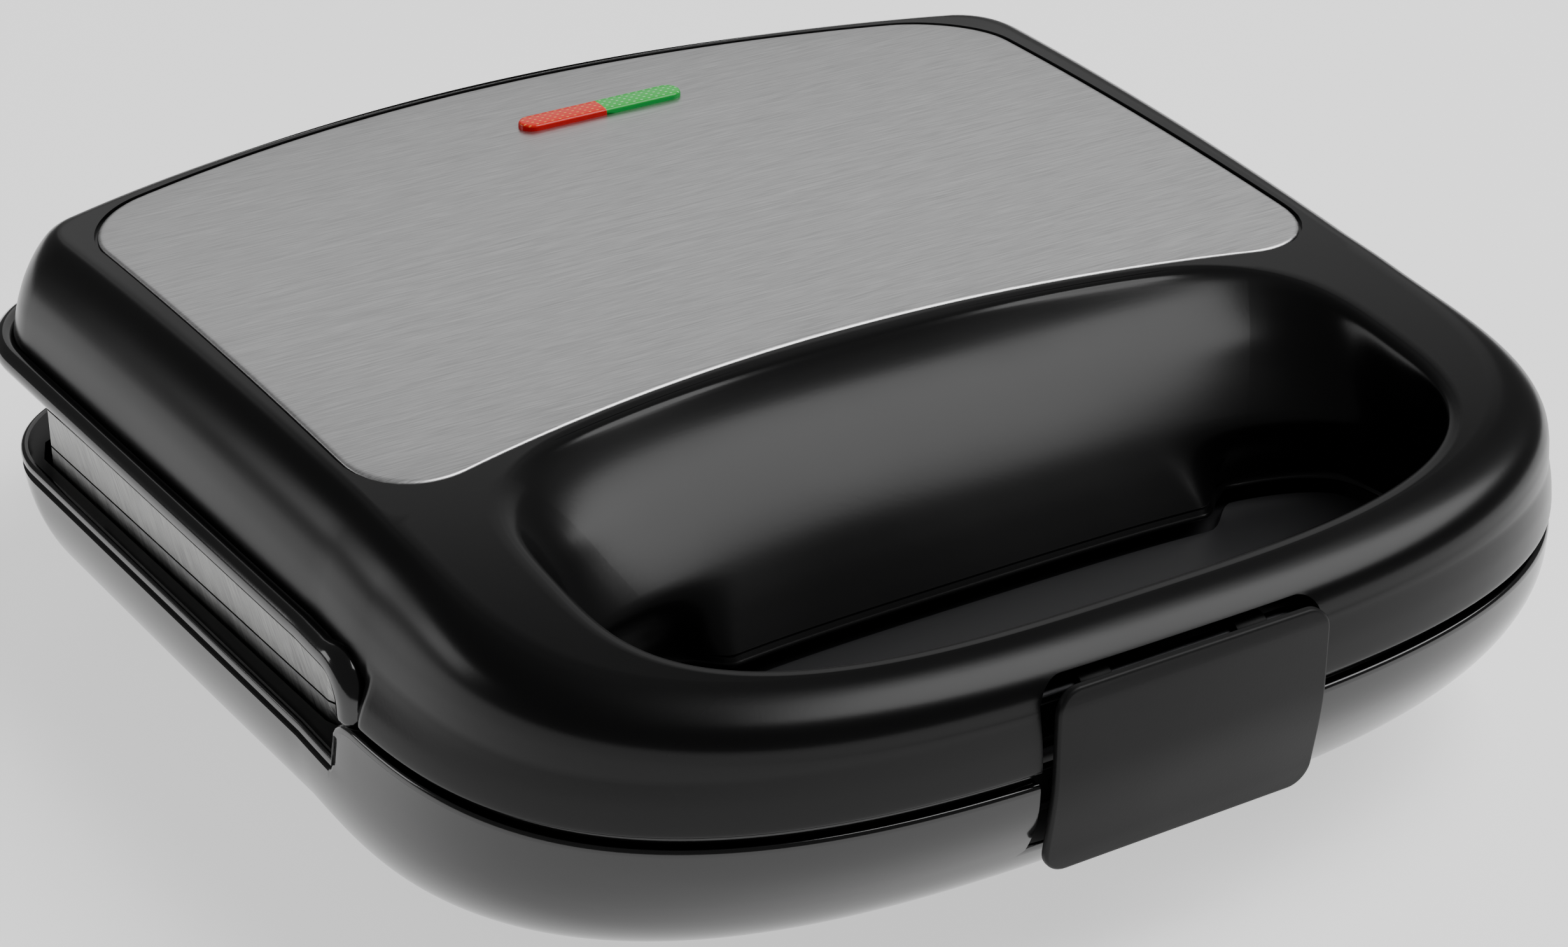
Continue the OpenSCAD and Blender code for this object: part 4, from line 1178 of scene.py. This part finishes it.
class TOASTER_OT_latch(bpy.types.Operator):
    """Model the drop latch with its ears and hook"""
    bl_idname = "toaster.latch"
    bl_label = "Latch"

    def execute(self, context):
        face = rounded_slab("latch_plate", (-26, -123.5, 25.1), (26, -121.8, 59.6), 4.2, edge=0.55)
        edit(face)
        # level cuts, so that the plate can be bowed
        for z in np.linspace(27, 58, 26):
            bpy.ops.mesh.select_all(action="SELECT")
            bpy.ops.mesh.bisect(plane_co=(0, 0, z * MM), plane_no=(0, 0, 1))
        close_edit()
        for v in face.data.vertices:
            z = v.co.z / MM
            v.co.y += (0.4 * float(ease(56.5, 59.6, z)) + 2.6 * float(1 - ease(22, 45, z))) * MM
        parts = [face]
        for x in (-18, 12):
            parts.append(rod("ear", 2.5, (x, LATCH_Y, 54.6), (x + 6, LATCH_Y, 54.6), bevel=0.2))
            parts.append(block("arm", (x, -122.2, 52.1), (x + 6, LATCH_Y, 55.3), bevel=0.3))
        parts.append(block("hook", (-10, -121.2, 33), (10, -113.6, 36.5), bevel=0.5))
        latch = join(*parts)
        latch.name = "latch_cover"
        finish_piece(latch, "latch", "latch_black", MATS["matte"], "latch")
        return {"FINISHED"}


class TOASTER_OT_inside(bpy.types.Operator):
    """Give the cooking plates and the small metal and rubber parts their finish"""
    bl_idname = "toaster.inside"
    bl_label = "Plates and small parts"

    def execute(self, context):
        finish = {
            "plate": ["upper_cooking_plate", "lower_cooking_plate"],
            "sheath": ["upper_heating_element", "lower_heating_element"],
            "tray": ["upper_reflector", "lower_reflector"],
            "brown": ["thermostat"], "white": ["thermal_fuse"], "ivory": ["terminal_block", "lamp_holder"],
            "rubber": ["cord_bush", "front_left_foot", "front_right_foot", "rear_left_foot", "rear_right_foot"],
            "pin": ["left_hinge_pin", "right_hinge_pin"], "dark_pin": ["latch_pin"],
            "zinc": ["upper_plate_screws", "lower_plate_screws"],
            "glass": ["power_lamp", "ready_lamp"]}
        for mat, names in finish.items():
            for name in names:
                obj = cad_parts[name]
                obj.data.materials.clear()
                obj.data.materials.append(MATS[mat])
        return {"FINISHED"}


def area_light(name, size, power, location, target, size_y=None):
    """A soft square or oblong light turned to a point."""
    bpy.ops.object.light_add(type="AREA", location=location)
    lamp = bpy.context.object
    lamp.name = name
    lamp.data.energy = power
    lamp.data.size = size
    if size_y:
        lamp.data.shape = "RECTANGLE"
        lamp.data.size_y = size_y
    way = Vector(target) - Vector(location)
    lamp.rotation_euler = way.to_track_quat("-Z", "Y").to_euler()
    return lamp


# The floor gives off some light, as a lit white table does; 0 makes it a floor that only reflects
FLOOR_GLOW = 0.85
# Focal length that fits the photograph, its width, and the width of the camera's sensor in millimetres
FOCAL_PX = 5819.8
PHOTO_WIDTH_PX = 2464
SENSOR = 36


class TOASTER_OT_stage(bpy.types.Operator):
    """Make the floor, the soft lights and the camera"""
    bl_idname = "toaster.stage"
    bl_label = "Stage"

    def execute(self, context):
        deselect()
        bpy.ops.mesh.primitive_plane_add(size=6, location=(0, 0, 0))
        floor = bpy.context.object
        floor.name = "floor"
        mat, _, shader = new_material("Pale floor", tuple(context.scene.toaster_finish.floor_color), 0.6)
        shader.inputs["Emission Color"].default_value = (1, 1, 1, 1)
        shader.inputs["Emission Strength"].default_value = FLOOR_GLOW
        floor.data.materials.append(mat)
        world = bpy.data.worlds.new("Studio")
        context.scene.world = world
        world.use_nodes = True
        world.node_tree.nodes["Background"].inputs["Color"].default_value = (1, 1, 1, 1)
        world.node_tree.nodes["Background"].inputs["Strength"].default_value = 0.16
        area_light("top", 1.2, 30, (0.95, -0.42, 1.5), (0.2, -0.1, 0), 1.35)
        area_light("rear", 1.7, 2.6, (0.9, 1.5, 0.95), (0, 0, 0.03), 0.9)
        area_light("left", 0.5, 2.5, (-1.2, 0.9, 0.5), (0, 0, 0.03))
        az, el, dist = math.radians(-31.21), math.radians(28.66), 0.735
        target = Vector((0.02742, 0.04510, 0.00386))
        back = Vector((math.sin(az) * math.cos(el), -math.cos(az) * math.cos(el), math.sin(el)))
        bpy.ops.object.camera_add(location=target + back * dist)
        cam = context.object
        cam.rotation_euler = (-back).to_track_quat("-Z", "Y").to_euler()
        cam.data.lens = FOCAL_PX / PHOTO_WIDTH_PX * SENSOR
        cam.data.sensor_width = SENSOR
        cam.data.clip_start = 0.01
        context.scene.camera = cam
        return {"FINISHED"}


class TOASTER_PT_panel(bpy.types.Panel):
    """Lists the pieces"""
    bl_label = "Toaster"
    bl_idname = "TOASTER_PT_panel"
    bl_space_type = "VIEW_3D"
    bl_region_type = "UI"
    bl_category = "Toaster"

    def draw(self, context):
        for name in ToasterFinish.__annotations__:
            self.layout.prop(context.scene.toaster_finish, name)
        for cls in OPERATORS:
            self.layout.operator(cls.bl_idname)


OPERATORS = (TOASTER_OT_stage, TOASTER_OT_lid, TOASTER_OT_base, TOASTER_OT_trim, TOASTER_OT_lens, TOASTER_OT_latch,
             TOASTER_OT_inside)
CLASSES = (ToasterFinish, *OPERATORS, TOASTER_PT_panel)


def register():
    for cls in CLASSES:
        bpy.utils.register_class(cls)
    bpy.types.Scene.toaster_finish = bpy.props.PointerProperty(type=ToasterFinish)


def unregister():
    del bpy.types.Scene.toaster_finish
    for cls in reversed(CLASSES):
        bpy.utils.unregister_class(cls)


def main():
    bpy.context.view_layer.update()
    register()
    make_materials()
    bpy.ops.toaster.stage()
    bpy.ops.toaster.lid()
    bpy.ops.toaster.base()
    bpy.ops.toaster.trim()
    bpy.ops.toaster.lens()
    bpy.ops.toaster.latch()
    bpy.ops.toaster.inside()


if __name__ == "__main__":
    main()
